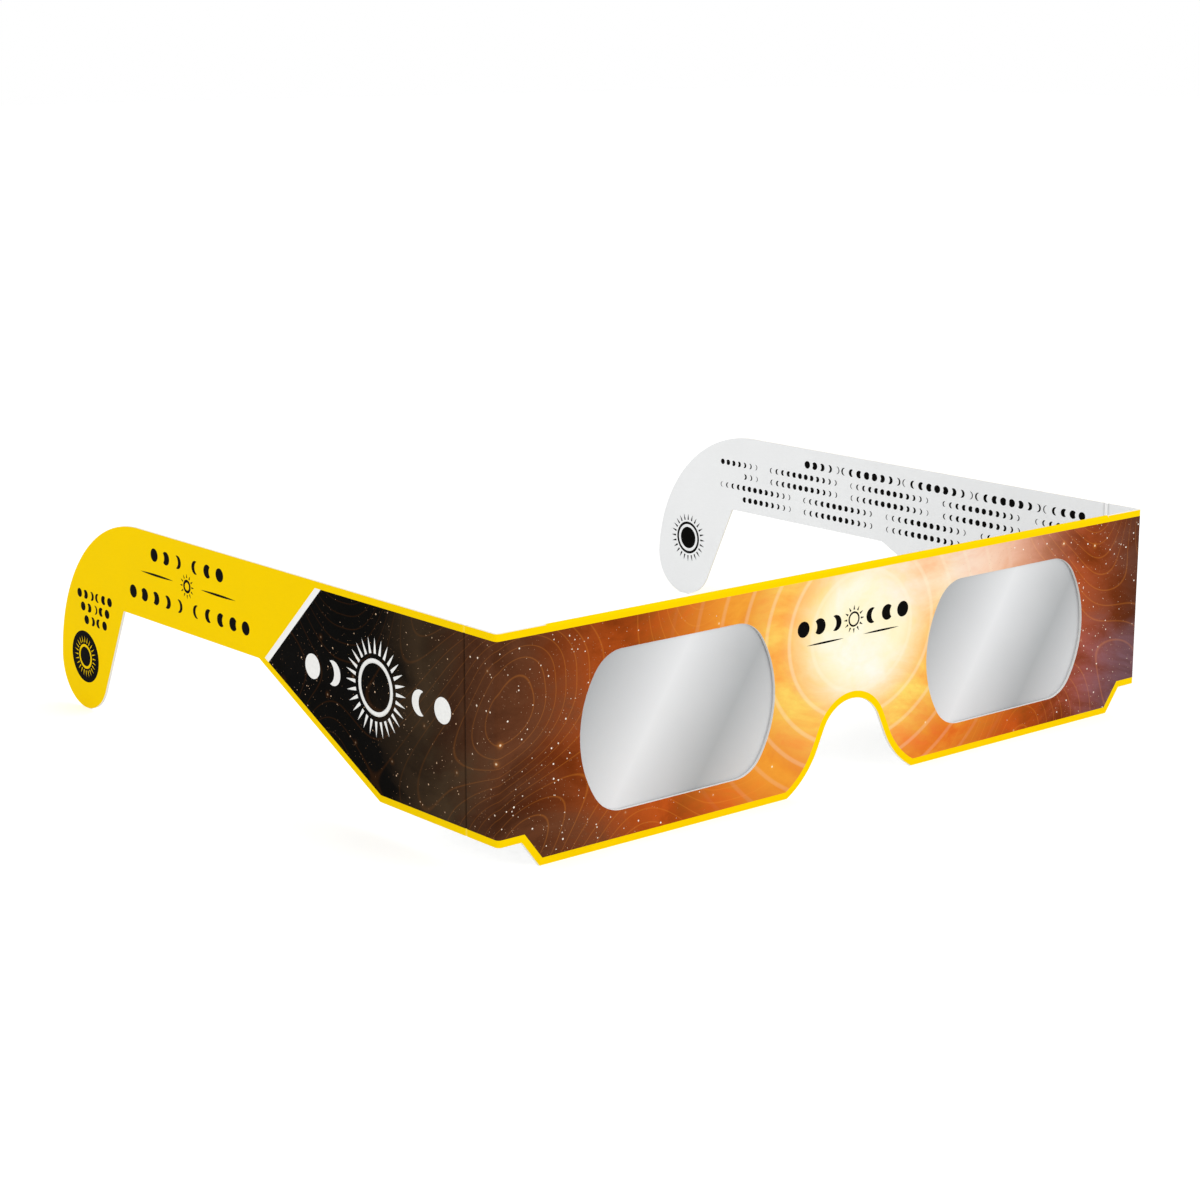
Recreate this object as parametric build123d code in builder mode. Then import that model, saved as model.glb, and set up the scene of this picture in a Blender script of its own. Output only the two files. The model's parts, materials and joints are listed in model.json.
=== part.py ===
"""Paper eclipse glasses: a creased card frame with a solar filter film behind each window.

Millimetres. +Z is up and the glasses face -Y. The origin is under the middle of the whole
object, on the surface that it stands on. Left and right are the wearer's, so left is +X.
"""
from build123d import *
from math import acos, atan2, degrees, sqrt
import os

# Card blank
card = 0.45                     # thickness of the board
front_width = 150.0             # across the front, outer face to outer face of the corners
front_height = 37.4             # top edge to the lower edge of the front
side_foot = 4.4                 # the corner strips and temple roots end this far above the front
step_top = 4.5                  # outer corner to the top of the slanted step beneath it
step_foot = 7.9                 # outer corner to the foot of that step
corner_fillet = 0.4             # die-cut corners of the step and the ear hook

# Creases
crease_spacing = 7.4            # front crease to temple crease
crease_bead_share = 0.85        # radius of the rounded, crushed card, as a share of its thickness
crease_gap = 0.04               # between that bead and the card that swings round it
crease_relief_share = 0.55      # from a crease line to the card's flat end, by its thickness

# Eye windows
window_side = 16.0              # outer corner of the front to a window
window_bridge = 36.0            # from one window to the other
window_top = 6.0                # top edge of the front to the top of a window
window_foot = 5.6               # lower edge of the front to the foot of a window
window_end_radius = 18.0        # bowed short ends
window_corner_radius = 6.5
back_window_margin = 0.8        # the back card's windows are this much wider, all round

# Notch for the nose
notch_mouth = 29.8              # width at the lower edge
notch_height = 14.6
notch_crown_radius = 7.2
notch_flank_angle = 65.0        # slope of the straight flanks, in degrees
notch_flank = 3.5               # length of a straight flank

# Temples
temple_reach = 133.2            # front face to the ends of the ear hooks
taper_start = 30.4              # front face to where a temple starts to narrow
taper_end = 64.7                # front face to where the narrow arm starts
arm_height = 16.2               # height of the narrow arm
hook_depth = 23.8               # inner corner of the ear hook to the end of the temple
hook_crown_radius = 30.0        # the bend over the ear
hook_tip_radius = 8.4

# Back card, film and glue
back_stop = 9.5                 # the glued back card stops this far from both outer corners
back_inset = 0.8                # its lower outline lies this far inside the front's
film_ply = 0.06                 # each of the two plies of the filter film
film_margin = 3.0               # film beyond its window, all round
glue_inset = 1.0                # glue stops this far inside the back card's outline
glue_clearance = 0.3            # glue stops this far from the film
cut_overrun = 1.0               # how far cutting shapes run past what they cut

# Sizes and places that follow from these
half_width = front_width / 2
side_height = front_height - side_foot
window_width = half_width - window_side - window_bridge / 2
window_height = front_height - window_top - window_foot
window_x = half_width - window_side - window_width / 2
window_z = window_foot + window_height / 2
window_places = [(-window_x, window_z), (window_x, window_z)]
back_width = front_width - 2 * back_stop
film_stack = 2 * film_ply
fold_radius = card + film_stack / 2
crease_bead = crease_bead_share * card
crease_relief = crease_relief_share * card
front_y = -temple_reach / 2
inner_y = front_y + card
back_y = inner_y + film_stack
fold_z = front_height - fold_radius
axis_x = half_width - card
temple_crease = card + crease_spacing

sides = {"left": 1, "right": -1}
quarter_turn = 90.0             # degrees


def front_plane(y):
    """A plane that faces forwards at depth y, with its local axes along X and Z."""
    return Plane(origin=(0, y, 0), x_dir=(1, 0, 0), z_dir=(0, -1, 0))


def side_plane(side):
    """The inner face of one side's card. Local X runs back from the front face, local Y is Z."""
    return Plane(origin=(side * axis_x, front_y, 0), x_dir=(0, 1, 0), z_dir=(1, 0, 0))


def window_face(margin):
    """One eye window about the origin: straight top and bottom, bowed ends, round corners."""
    half_w = window_width / 2 + margin
    half_h = window_height / 2 + margin
    end_radius = window_end_radius + margin
    chord_x = half_w - end_radius + sqrt(end_radius**2 - half_h**2)
    with BuildSketch(mode=Mode.PRIVATE) as window:
        with BuildLine():
            Line((-chord_x, half_h), (chord_x, half_h))
            ThreePointArc((chord_x, half_h), (half_w, 0), (chord_x, -half_h))
            Line((chord_x, -half_h), (-chord_x, -half_h))
            ThreePointArc((-chord_x, -half_h), (-half_w, 0), (-chord_x, half_h))
        make_face()
        fillet(window.vertices(), window_corner_radius + margin)
    return window.sketch


def notch_face():
    """The nose notch, open downwards: a round crown, straight flanks and flared feet."""
    with BuildSketch(mode=Mode.PRIVATE) as notch:
        with BuildLine():
            crown = JernArc((0, notch_height), (1, 0), notch_crown_radius, -notch_flank_angle)
            flank = Line(crown @ 1, crown @ 1 + (crown % 1) * notch_flank)
            foot = TangentArc(flank @ 1, (notch_mouth / 2, 0), tangent=flank % 1)
            Polyline(foot @ 1, (notch_mouth / 2, -cut_overrun), (0, -cut_overrun))
            mirror(about=Plane.YZ)
        make_face()
    return notch.sketch


def front_face(inset, width):
    """The front's outline, moved inwards by inset below and at the notch, and cut to width."""
    with BuildSketch(mode=Mode.PRIVATE) as outline:
        with BuildLine():
            half = Polyline(
                (0, front_height + inset),
                (half_width, front_height + inset),
                (half_width, side_foot),
                (half_width - step_top, side_foot),
                (half_width - step_foot, 0),
                (0, 0),
            )
            mirror(half, about=Plane.YZ)
        make_face()
        step_corners = outline.vertices().filter_by(
            lambda corner: half_width - step_foot <= abs(corner.X) <= half_width - step_top
        )
        fillet(step_corners, corner_fillet)
        add(notch_face(), mode=Mode.SUBTRACT)
        if inset > 0:
            offset(amount=-inset, kind=Kind.INTERSECTION, mode=Mode.REPLACE)
        Rectangle(width, 2 * front_height, mode=Mode.INTERSECT)
    return outline.sketch


def temple_face():
    """A temple from its crease to the ear hook: tall root, taper, narrow arm and round hook."""
    tip_centre = Vector(temple_reach - hook_tip_radius, hook_tip_radius)
    crown_z = front_height - hook_crown_radius
    rise = tip_centre.Y - crown_z
    run = sqrt((hook_crown_radius - hook_tip_radius) ** 2 - rise**2)
    crown_centre = Vector(tip_centre.X - run, crown_z)
    crown_end = degrees(atan2(rise, run))
    throat = Vector(temple_reach - hook_depth, front_height - arm_height)
    reach = throat - tip_centre
    lip_turn = degrees(acos(hook_tip_radius / reach.length))
    lip = tip_centre + (reach.normalized() * hook_tip_radius).rotate(Axis.Z, lip_turn)
    with BuildSketch(mode=Mode.PRIVATE) as temple:
        with BuildLine():
            top = Line((temple_crease, front_height), (crown_centre.X, front_height))
            crown = JernArc(top @ 1, top % 1, hook_crown_radius, crown_end - quarter_turn)
            TangentArc(crown @ 1, lip, tangent=crown % 1)
            Polyline(
                lip,
                throat,
                (taper_end, front_height - arm_height),
                (taper_start, side_foot),
                (temple_crease, side_foot),
                (temple_crease, front_height),
            )
        make_face()
        hook_corner = temple.vertices().sort_by_distance(throat)[0]
        fillet(hook_corner, corner_fillet)
    return temple.sketch


def crease_cut(side, depth, radius):
    """Cut the open part round one crease line, and back from it at its flat end."""
    with Locations((side * axis_x, front_y + depth, side_foot - cut_overrun)):
        Cylinder(
            radius,
            side_height + 2 * cut_overrun,
            align=(Align.CENTER, Align.CENTER, Align.MIN),
            mode=Mode.SUBTRACT,
        )


def finish(piece, name):
    """Label one finished piece and write its file."""
    piece.part.label = name
    export_step(piece.part, f"parts/{name}.step")


os.makedirs("parts", exist_ok=True)

# The front card, cut away along the top where the rounded fold takes over
with BuildPart() as front_panel:
    with BuildSketch(front_plane(front_y)):
        add(front_face(0, 2 * (axis_x - crease_relief)))
        with Locations((0, front_height)):
            Rectangle(back_width, 2 * fold_radius, mode=Mode.SUBTRACT)
        with Locations(window_places):
            add(window_face(0), mode=Mode.SUBTRACT)
    extrude(amount=-card)
    for side in sides.values():
        crease_cut(side, card, crease_bead + crease_gap)
finish(front_panel, "front_panel")

# The back card, glued behind the front with the film between them
with BuildPart() as back_panel:
    with BuildSketch(front_plane(back_y)):
        add(front_face(back_inset, back_width))
        with Locations((0, front_height)):
            Rectangle(front_width, 2 * fold_radius, mode=Mode.SUBTRACT)
        with Locations(window_places):
            add(window_face(back_window_margin), mode=Mode.SUBTRACT)
    extrude(amount=-card)
finish(back_panel, "back_panel")

# The rounded fold along the top, where the card turns over from front to back
with BuildPart() as top_fold:
    fold_plane = Plane(
        origin=(-back_width / 2, front_y + fold_radius, fold_z), x_dir=(0, 1, 0), z_dir=(1, 0, 0)
    )
    with BuildSketch(fold_plane):
        Circle(fold_radius)
        Circle(film_stack / 2, mode=Mode.SUBTRACT)
        Rectangle(
            2 * fold_radius,
            fold_radius,
            align=(Align.CENTER, Align.MAX),
            mode=Mode.SUBTRACT,
        )
    extrude(amount=back_width)
finish(top_fold, "top_fold")

# Glue between the two cards, all round the film
film_width = window_width + 2 * film_margin
film_height = window_height + 2 * film_margin
with BuildPart() as glue_layer:
    with BuildSketch(front_plane(inner_y)):
        add(front_face(back_inset + glue_inset, back_width - 2 * glue_inset))
        with Locations((0, front_height)):
            Rectangle(front_width, 2 * (fold_radius + glue_inset), mode=Mode.SUBTRACT)
        with Locations(window_places):
            Rectangle(
                film_width + 2 * glue_clearance,
                film_height + 2 * glue_clearance,
                mode=Mode.SUBTRACT,
            )
    extrude(amount=-film_stack)
finish(glue_layer, "glue_layer")

# The filter film behind each window: a mirror-coated ply in front, a black ply behind it
for side_name, side in sides.items():
    for ply_name, ply_y in (("mirror_ply", inner_y), ("black_ply", inner_y + film_ply)):
        with BuildPart() as ply:
            with BuildSketch(front_plane(ply_y)):
                with Locations((side * window_x, window_z)):
                    Rectangle(film_width, film_height)
            extrude(amount=-film_ply)
        finish(ply, f"{side_name}_{ply_name}")

for side_name, side in sides.items():
    # The crease beads: the rounded stretch of card on each fold line
    for crease_name, depth in (("front_crease", card), ("temple_crease", temple_crease)):
        with BuildPart() as bead:
            with Locations((side * axis_x, front_y + depth, side_foot)):
                Cylinder(
                    crease_bead,
                    side_height,
                    align=(Align.CENTER, Align.CENTER, Align.MIN),
                )
        finish(bead, f"{side_name}_{crease_name}")

    # The narrow strip between the two creases at each corner
    with BuildPart() as corner_strip:
        with BuildSketch(side_plane(side)):
            with Locations((card + crease_relief, side_foot)):
                Rectangle(
                    crease_spacing - 2 * crease_relief,
                    side_height,
                    align=(Align.MIN, Align.MIN),
                )
        extrude(amount=side * card)
        crease_cut(side, card, crease_bead)
        crease_cut(side, temple_crease, crease_bead + crease_gap)
    finish(corner_strip, f"{side_name}_corner_strip")

    # The temple, from its crease to the hook behind the ear
    with BuildPart() as temple:
        with BuildSketch(side_plane(side)):
            add(temple_face())
            with Locations((temple_crease, front_height / 2)):
                Rectangle(2 * crease_relief, 2 * front_height, mode=Mode.SUBTRACT)
        extrude(amount=side * card)
        crease_cut(side, temple_crease, crease_bead)
    finish(temple, f"{side_name}_temple")
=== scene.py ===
"""Finished look of a pair of folding paper eclipse glasses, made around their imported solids.

Metres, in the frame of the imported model: +Z is up, the glasses face -Y, and the wearer's left
is +X. The card is drawn flat, as the blank that a die cuts, and each stretch of it is then
folded to its place. On the blank, s runs sideways from the middle of the front, along both
temples, and v runs up from the lower edge of the front, over the top fold and down the back.
"""
import json
import math

import bmesh
import bpy
import numpy as np
from mathutils import Matrix, Vector
from mathutils.geometry import delaunay_2d_cdt


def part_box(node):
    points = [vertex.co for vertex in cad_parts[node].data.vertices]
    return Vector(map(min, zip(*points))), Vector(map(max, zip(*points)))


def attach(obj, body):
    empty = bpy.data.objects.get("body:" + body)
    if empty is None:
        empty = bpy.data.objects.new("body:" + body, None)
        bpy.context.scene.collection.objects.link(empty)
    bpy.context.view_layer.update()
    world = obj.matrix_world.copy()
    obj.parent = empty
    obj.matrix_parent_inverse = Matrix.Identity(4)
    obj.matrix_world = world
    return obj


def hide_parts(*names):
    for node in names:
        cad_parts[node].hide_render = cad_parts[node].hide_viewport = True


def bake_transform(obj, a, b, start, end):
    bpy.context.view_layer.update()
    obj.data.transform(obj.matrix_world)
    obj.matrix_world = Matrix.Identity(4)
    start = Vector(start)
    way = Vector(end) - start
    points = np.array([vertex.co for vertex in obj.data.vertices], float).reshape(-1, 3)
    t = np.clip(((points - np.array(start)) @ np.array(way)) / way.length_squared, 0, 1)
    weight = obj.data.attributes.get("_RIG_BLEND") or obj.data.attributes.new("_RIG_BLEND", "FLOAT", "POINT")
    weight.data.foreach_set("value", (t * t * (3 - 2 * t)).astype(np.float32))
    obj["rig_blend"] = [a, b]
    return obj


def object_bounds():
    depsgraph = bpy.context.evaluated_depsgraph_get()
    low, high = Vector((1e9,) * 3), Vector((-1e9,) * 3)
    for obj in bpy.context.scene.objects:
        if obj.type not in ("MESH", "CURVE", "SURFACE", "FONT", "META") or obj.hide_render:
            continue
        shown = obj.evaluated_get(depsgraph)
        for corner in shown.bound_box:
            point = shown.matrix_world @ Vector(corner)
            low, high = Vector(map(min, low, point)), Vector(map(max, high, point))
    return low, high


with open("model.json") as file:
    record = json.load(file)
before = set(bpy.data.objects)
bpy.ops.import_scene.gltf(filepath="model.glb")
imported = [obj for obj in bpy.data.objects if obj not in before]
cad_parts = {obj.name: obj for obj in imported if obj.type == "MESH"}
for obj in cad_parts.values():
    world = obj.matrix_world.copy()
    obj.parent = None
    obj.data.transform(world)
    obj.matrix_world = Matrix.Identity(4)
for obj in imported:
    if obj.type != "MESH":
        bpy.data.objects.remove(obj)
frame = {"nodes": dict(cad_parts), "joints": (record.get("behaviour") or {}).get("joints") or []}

bl_info = {
    "name": "Paper Eclipse Glasses",
    "version": (1, 0, 0),
    "blender": (4, 5, 0),
    "location": "View3D > Sidebar > Eclipse Glasses",
    "description": "Folds, prints and finishes a pair of paper eclipse glasses",
    "category": "Object",
}

MM = 0.001
SIDES = {"left": 1, "right": -1}
WHOLE_LOW, WHOLE_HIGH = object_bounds()
FRONT_LOW, FRONT_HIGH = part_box("front_panel")
BACK_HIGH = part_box("back_panel")[1]
FILM_LOW, FILM_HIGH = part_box("left_mirror_ply")
BLACK_LOW, BLACK_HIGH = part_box("left_black_ply")
TEMPLE_AXIS = Vector(next(j["pos_m"] for j in frame["joints"] if j["name"] == "left_temple_fold"))

FRONT_Y = FRONT_LOW.y
CARD = FRONT_HIGH.y - FRONT_LOW.y
HALF_WIDTH = WHOLE_HIGH.x
HEIGHT = WHOLE_HIGH.z
SIDE_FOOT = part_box("left_corner_strip")[0].z
REACH = WHOLE_HIGH.y - FRONT_Y
FLAP_HALF = BACK_HIGH.x
FOLD_RADIUS = (BACK_HIGH.y - FRONT_Y) / 2
FOLD_Z = HEIGHT - FOLD_RADIUS
FOLD_END = FOLD_Z + math.pi * FOLD_RADIUS
CREASE_U = TEMPLE_AXIS.y - FRONT_Y

ARC_STEP = 0.45 * MM            # spacing of the points along a curved cut
LEAST_ARC_STEPS = 6
CDT_GAP = 1e-4                  # points nearer than this, in millimetres, are one point
CDT_DIGITS = 4                  # decimals of a millimetre that the blank's points are kept to
OVERRUN = 1.0 * MM              # how far a crease line is drawn past the card
GROOVE_SHARES = (-1, -0.7, -0.35, 0, 0.35, 0.7, 1)    # where facets meet across a scored crease
MITRE_LIMIT = 0.5               # keeps the crushed edge short at a sharp corner
CARD_SHARP = math.radians(30)   # edges of the card steeper than this stay sharp
FILM_SHARP = math.radians(40)
FILM_WAVES = ((420.0, 180.0), (-150.0, 260.0))    # slack of a film, radians a metre across and up
FILM_HOLD = 4                   # how suddenly the slack ends at the window's edge
WELD_GAP = 1e-7
SPINDLE_STEPS = 24
RAY_COLUMNS = 9
FLAKE_SIDES = 7
SEED_STEP = 100.0               # from the seed of a speck's size to that of its place
FEW_LARGE = 9.0                 # the higher, the fewer specks are large
FEW_BRIGHT = 4.0                # the higher, the fewer specks are bright
CLEAR_SPREAD = 3.0              # specks are at their densest this many clear widths out
FLOOR_HALF = 3.0
NUMBER_SOCKETS = {float: "NodeSocketFloat", int: "NodeSocketInt"}

WHITE = (1.0, 1.0, 1.0, 1.0)
INK_SHINE = 0.008               # specular level of matt ink
BLACK_INK_ROUGHNESS = (0.4, 0.55)
BRIGHT_INK_ROUGHNESS = (0.4, 0.5)
PRINT_GRAIN = 0.004 * MM        # relief of the board under print
INK_GRAIN = 0.003 * MM
CUT_GRAIN = 0.02 * MM
HALO_SQUASH = 1.3               # how much faster the halo's glow falls off upwards, squared
HALO_REACH = 125.0              # millimetres from the halo's middle that its colours span
RING_PITCH = 5.2                # millimetres between the rings round the halo
CONTOURS = 22.0                 # contour lines from the lowest to the highest cloud
EMBERS = 0.11                   # glowing embers on a millimetre, each way
BAND_LEAN = -0.67               # slant of the painted reflection bands on the film
BAND_ENDS = (-24.0, 30.0)       # millimetres from a window's middle that the painted reflection bands span


def linear(code):
    """Linear red, green, blue and alpha of a six-digit colour code."""
    parts = [int(code[i : i + 2], 16) / 255 for i in (0, 2, 4)]
    return [c / 12.92 if c <= 0.04045 else ((c + 0.055) / 1.055) ** 2.4 for c in parts] + [1.0]


def size(label, metres, tip):
    """A length in the sidebar."""
    return bpy.props.FloatProperty(
        name=label, description=tip, default=metres, min=0.0, unit="LENGTH", precision=5
    )


def spot(label, back, up, tip):
    """A place on a temple, in millimetres behind the front face and above its lower edge."""
    return bpy.props.FloatVectorProperty(
        name=label, description=tip, default=(back * MM, up * MM), size=2, unit="LENGTH",
        precision=5,
    )


def position(label, place, tip):
    """A place in space in the sidebar."""
    return bpy.props.FloatVectorProperty(
        name=label, description=tip, default=place, size=3, subtype="TRANSLATION"
    )


def angle(label, degrees, tip):
    """An angle in the sidebar."""
    return bpy.props.FloatProperty(
        name=label, description=tip, default=math.radians(degrees), subtype="ANGLE"
    )


def amount(label, value, tip, unit="NONE"):
    """A number in the sidebar that isn't a length in metres."""
    return bpy.props.FloatProperty(
        name=label, description=tip, default=value, min=0.0, unit=unit
    )


def count(label, value, tip):
    """A whole number in the sidebar."""
    return bpy.props.IntProperty(name=label, description=tip, default=value, min=0)


def tint(label, code, tip):
    """A colour in the sidebar."""
    return bpy.props.FloatVectorProperty(
        name=label, description=tip, default=linear(code), size=4, min=0.0, max=1.0,
        subtype="COLOR",
    )


class CardSizes(bpy.types.PropertyGroup):
    """Outline, creases and borders of the die-cut card"""

    bevel: size("Crushed edge", 0.03 * MM, "How far the die rounds over the printed side's edges")
    wear: size("Worn edge", 0.22 * MM, "Width of the rubbed ink along a cut edge")
    border: size("Border", 1.2 * MM, "Width of the yellow border")
    bend: size("Corner bend", 0.65 * MM, "Outer radius of the bends beside the front")
    bend_columns: count("Bend columns", 12, "Facets round each bend and round the top fold")
    crease_reach: size("Crease reach", 1.0 * MM, "Card on either side that a temple crease moves")
    groove_width: size("Groove width", 0.3 * MM, "Half the width of the scored crease")
    groove_depth: size("Groove depth", 0.13 * MM, "Depth of the scored crease")
    # Within this band the plain side gets painted shade and a painted highlight, the picture painted shade,
    # and the yellow a lighter tint.
    crease_band: size("Crease band", 0.6 * MM, "Half the width of the mark inside a crease")
    step_top: size("Step top", 4.5 * MM, "Outer corner to the top of the slanted step")
    step_foot: size("Step foot", 7.9 * MM, "Outer corner to the foot of the slanted step")
    corner: size("Corner radius", 0.4 * MM, "Die-cut corners of the step and the ear hook")
    flap_inset: size("Back inset", 0.8 * MM, "The back card's outline inside the front's")
    notch_mouth: size("Notch mouth", 29.8 * MM, "Width of the nose notch at its mouth")
    notch_height: size("Notch height", 14.6 * MM, "Height of the nose notch")
    notch_crown: size("Notch crown", 7.2 * MM, "Radius of the top of the nose notch")
    notch_angle: angle("Notch flank angle", 65.0, "Slope of the notch's straight flanks")
    notch_flank: size("Notch flank", 3.5 * MM, "Length of a straight flank")
    taper_start: size("Taper start", 30.4 * MM, "Front face to where a temple narrows")
    taper_end: size("Taper end", 64.7 * MM, "Front face to where the narrow arm starts")
    arm: size("Arm height", 16.2 * MM, "Height of the narrow arm")
    hook_depth: size("Hook depth", 23.8 * MM, "Inner corner of the hook to the temple's end")
    hook_crown: size("Hook crown", 30.0 * MM, "Radius of the bend over the ear")
    hook_tip: size("Hook tip", 8.4 * MM, "Radius of the tip")


class WindowSizes(bpy.types.PropertyGroup):
    """The eye windows and the film behind them"""

    side: size("Side", 16.0 * MM, "Outer corner of the front to a window")
    bridge: size("Bridge", 36.0 * MM, "From one window to the other")
    top: size("Top", 6.0 * MM, "Top edge of the front to the top of a window")
    foot: size("Foot", 5.6 * MM, "Lower edge of the front to the foot of a window")
    end_radius: size("End radius", 18.0 * MM, "Radius of the bowed ends")
    corner_radius: size("Corner radius", 6.5 * MM, "Radius of the corners")
    back_margin: size("Back margin", 0.8 * MM, "The back card's windows are this much wider")
    ripple: size("Ripple", 0.035 * MM, "How far the film's slack stands in or out")
    columns: count("Film columns", 72, "Cells across a film")
    rows: count("Film rows", 48, "Cells up a film")


class PrintSizes(bpy.types.PropertyGroup):
    """Printed ornament"""

    ink: size("Ink", 0.008 * MM, "Height of a layer of printed ink")
    stripe_top: size("Stripe top", 47.4 * MM, "Front face to the stripe, at the top border")
    stripe_lean: size("Stripe lean", 15.5 * MM, "How much further back the stripe's foot lies")
    stripe_drop: size("Stripe drop", 14.6 * MM, "Height of the stripe")
    stripe_width: size("Stripe width", 1.15 * MM, "Width of the stripe, square to it")
    halo_height: size("Halo height", 26.0 * MM, "Middle of the warm halo above the lower edge")
    halo_side: size("Halo side", 2.0 * MM, "Middle of the halo towards the wearer's left")
    front_spot: size("Front figures", 28.2 * MM, "Lower edge to the figures on the front")
    arm_spot: spot("Arm figures", 87.1, 29.6, "Middle of the figures on the yellow arm")
    hook_spot: spot("Hook figures", 120.0, 19.5, "Middle of the rows on the ear hook")
    disc_spot: spot("Hook disc", 124.4, 9.9, "Middle of the black disc on the ear hook")
    panel_spot: spot("Panel sun", 31.0, 23.0, "Middle of the white sun on the dark panel")
    lines_spot: spot("Inner rows", 60.5, 31.4, "Middle of the first row inside a temple")
    heading_spot: spot("Inner heading", 50.0, 34.1, "Middle of the larger row above them")
    inner_spot: spot("Inner sun", 123.5, 12.8, "Middle of the sun inside the ear hook")
    specks: amount("Specks", 0.85, "Printed specks on each square millimetre of the front")
    corner_share: amount("Corner share", 0.75, "Share of the specks and their glint on a corner")
    temple_share: amount("Temple share", 0.5, "Share of the specks and their glint on a temple")
    speck_least: size("Smallest speck", 0.04 * MM, "Radius of the smallest specks")
    speck_most: size("Largest speck", 0.17 * MM, "Radius of the largest specks")
    speck_clear: size("Clear of specks", 20.0 * MM, "Half the width of the middle without specks")
    seed: count("Seed", 7, "Seed of everything that is scattered")


class PrintColours(bpy.types.PropertyGroup):
    """Inks, card, film and glue"""

    yellow: tint("Yellow", "FFD600", "Border, temples and top fold")
    yellow_on_crease: tint("Yellow on crease", "FFE75E", "Yellow on a temple's crease")
    glow: tint("Glow", "FFF8DC", "Middle of the halo")
    gold: tint("Gold", "FBC45C", "Halo, next to its middle")
    orange: tint("Orange", "E98A2E", "Halo, half way out")
    rust: tint("Rust", "A94A16", "Front, outside the halo")
    umber: tint("Umber", "59331F", "Ends of the front")
    dusk: tint("Dusk", "3A2C1E", "Middle of the dark panel")
    night: tint("Night", "050403", "Dark panel, next to the stripe")
    haze: tint("Haze", "FBEDE2", "Haze on the wearer's left side of the front")
    mauve: tint("Mauve", "C3A0C6", "Haze low on the wearer's left end of the front")
    # Painted shade in the groove of a temple's crease, on the picture.
    picture_crease_shade: tint("Picture crease shade", "17100B", "Picture on a temple's crease")
    speck_faint: tint("Faint speck", "A98262", "The faintest specks")
    speck_warm: tint("Warm speck", "D2B090", "Specks of middle brightness")
    speck_bright: tint("Bright speck", "FFF6E8", "The brightest specks")
    stripe: tint("Stripe", "FAFAF8", "Stripe across the temples")
    ink: tint("Black ink", "0C0B0A", "Figures on the yellow")
    inside: tint("Inside", "FAFBFC", "Plain side of the card")
    # Painted shade beside a crease, on the plain side of the card.
    inside_crease_shade: tint("Inside crease shade", "B4B4B4", "Plain side of the card, beside a crease")
    core: tint("Core", "F4F1E8", "Cut edges of the board")
    # Painted shade: cut edges inside the windows are darker than the core, as if shaded by the film.
    rim: tint("Window rim", "E1E1DF", "Cut edges of the windows, in the film's shade")
    # Painted reflection: darker and brighter bands in the film's colour stand in for what the mirror shows.
    film_reflection_dark: tint("Film shade", "A2A4A6", "Darker bands of the silver film")
    film_reflection_bright: tint("Film shine", "D8D9DB", "Brighter bands of the silver film")
    film_inner: tint("Film inside", "0B0B0C", "The wearer's side of the film")
    film_haze: tint("Film haze", "1B1B1E", "Haze on the wearer's side of the film")
    glue: tint("Glue", "EDE8DA", "Dried glue")
    glue_thin: tint("Thin glue", "FAF8F2", "Dried glue where it is thin")


class StageSettings(bpy.types.PropertyGroup):
    """Camera, light and floor"""

    azimuth: angle("Azimuth", -40.118, "Direction of the camera round the glasses")
    elevation: angle("Elevation", 12.994, "Height of the camera above the horizon")
    camera_place: position("Camera place", (-0.295726, -0.352187, 0.125805),
                           "Where the camera stands")
    lens: amount("Lens", 76.06, "Focal length in millimetres", "CAMERA")
    sensor: amount("Sensor", 36.0, "Width of the camera's sensor in millimetres", "CAMERA")
    sky: amount("Sky", 0.74, "Strength of the even light from all round")
    key: amount("Key light", 4.6, "Power of the large soft lamp in front, in watts", "POWER")
    key_place: position("Key place", (0.25, -0.85, 0.75), "Where the lamp in front hangs")
    key_width: size("Key width", 0.9, "Width of the lamp in front")
    fill: amount("Fill light", 1.8, "Power of the lamp at the near side, in watts", "POWER")
    fill_place: position("Fill place", (-0.95, -0.1, 0.45), "Where the side lamp hangs")
    fill_width: size("Fill width", 0.7, "Width of the side lamp")
    floor: tint("Floor", "EDEDEB", "Colour of the floor")
    floor_lift: amount("Floor lift", 0.38, "White added to the floor where the camera sees it")


def flat_point(x, y):
    """A point or direction on the flat blank."""
    return Vector((x, y))


def arc(centre, radius, start, turn):
    """Points along an arc, from an angle on it and through a turn, in radians."""
    steps = max(LEAST_ARC_STEPS, round(abs(turn) * radius / ARC_STEP))
    angles = [start + turn * i / steps for i in range(steps + 1)]
    return [centre + radius * flat_point(math.cos(a), math.sin(a)) for a in angles]


def tangent_arc(start, heading, end):
    """Points along the arc that leaves start along heading and ends at another point."""
    chord = end - start
    across = flat_point(-heading.y, heading.x)
    radius = chord.length_squared / (2 * across.dot(chord))
    centre = start + across * radius
    out = start - centre
    turn = 2 * math.atan2(across.dot(chord), heading.dot(chord))
    return arc(centre, abs(radius), math.atan2(out.y, out.x), turn)


def fillet(before, corner, after, radius):
    """Points that round one corner of an outline, or the corner itself if radius is zero."""
    if radius == 0:
        return [corner]
    back, on = (before - corner).normalized(), (after - corner).normalized()
    run = radius / math.tan(back.angle(on) / 2)
    shares = [i / LEAST_ARC_STEPS for i in range(LEAST_ARC_STEPS + 1)]
    return [corner + back * run * (1 - t) ** 2 + on * run * t**2 for t in shares]


def inset(loop, distance):
    """A closed outline moved inwards, with its sharp corners kept sharp."""
    moved = []
    for before, here, after in zip(loop[-1:] + loop[:-1], loop, loop[1:] + loop[:1]):
        a, b = (here - before).normalized(), (after - here).normalized()
        both = flat_point(-a.y - b.y, a.x + b.x)
        moved.append(here + both * (distance / (1 + a.dot(b))))
    return moved


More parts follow.
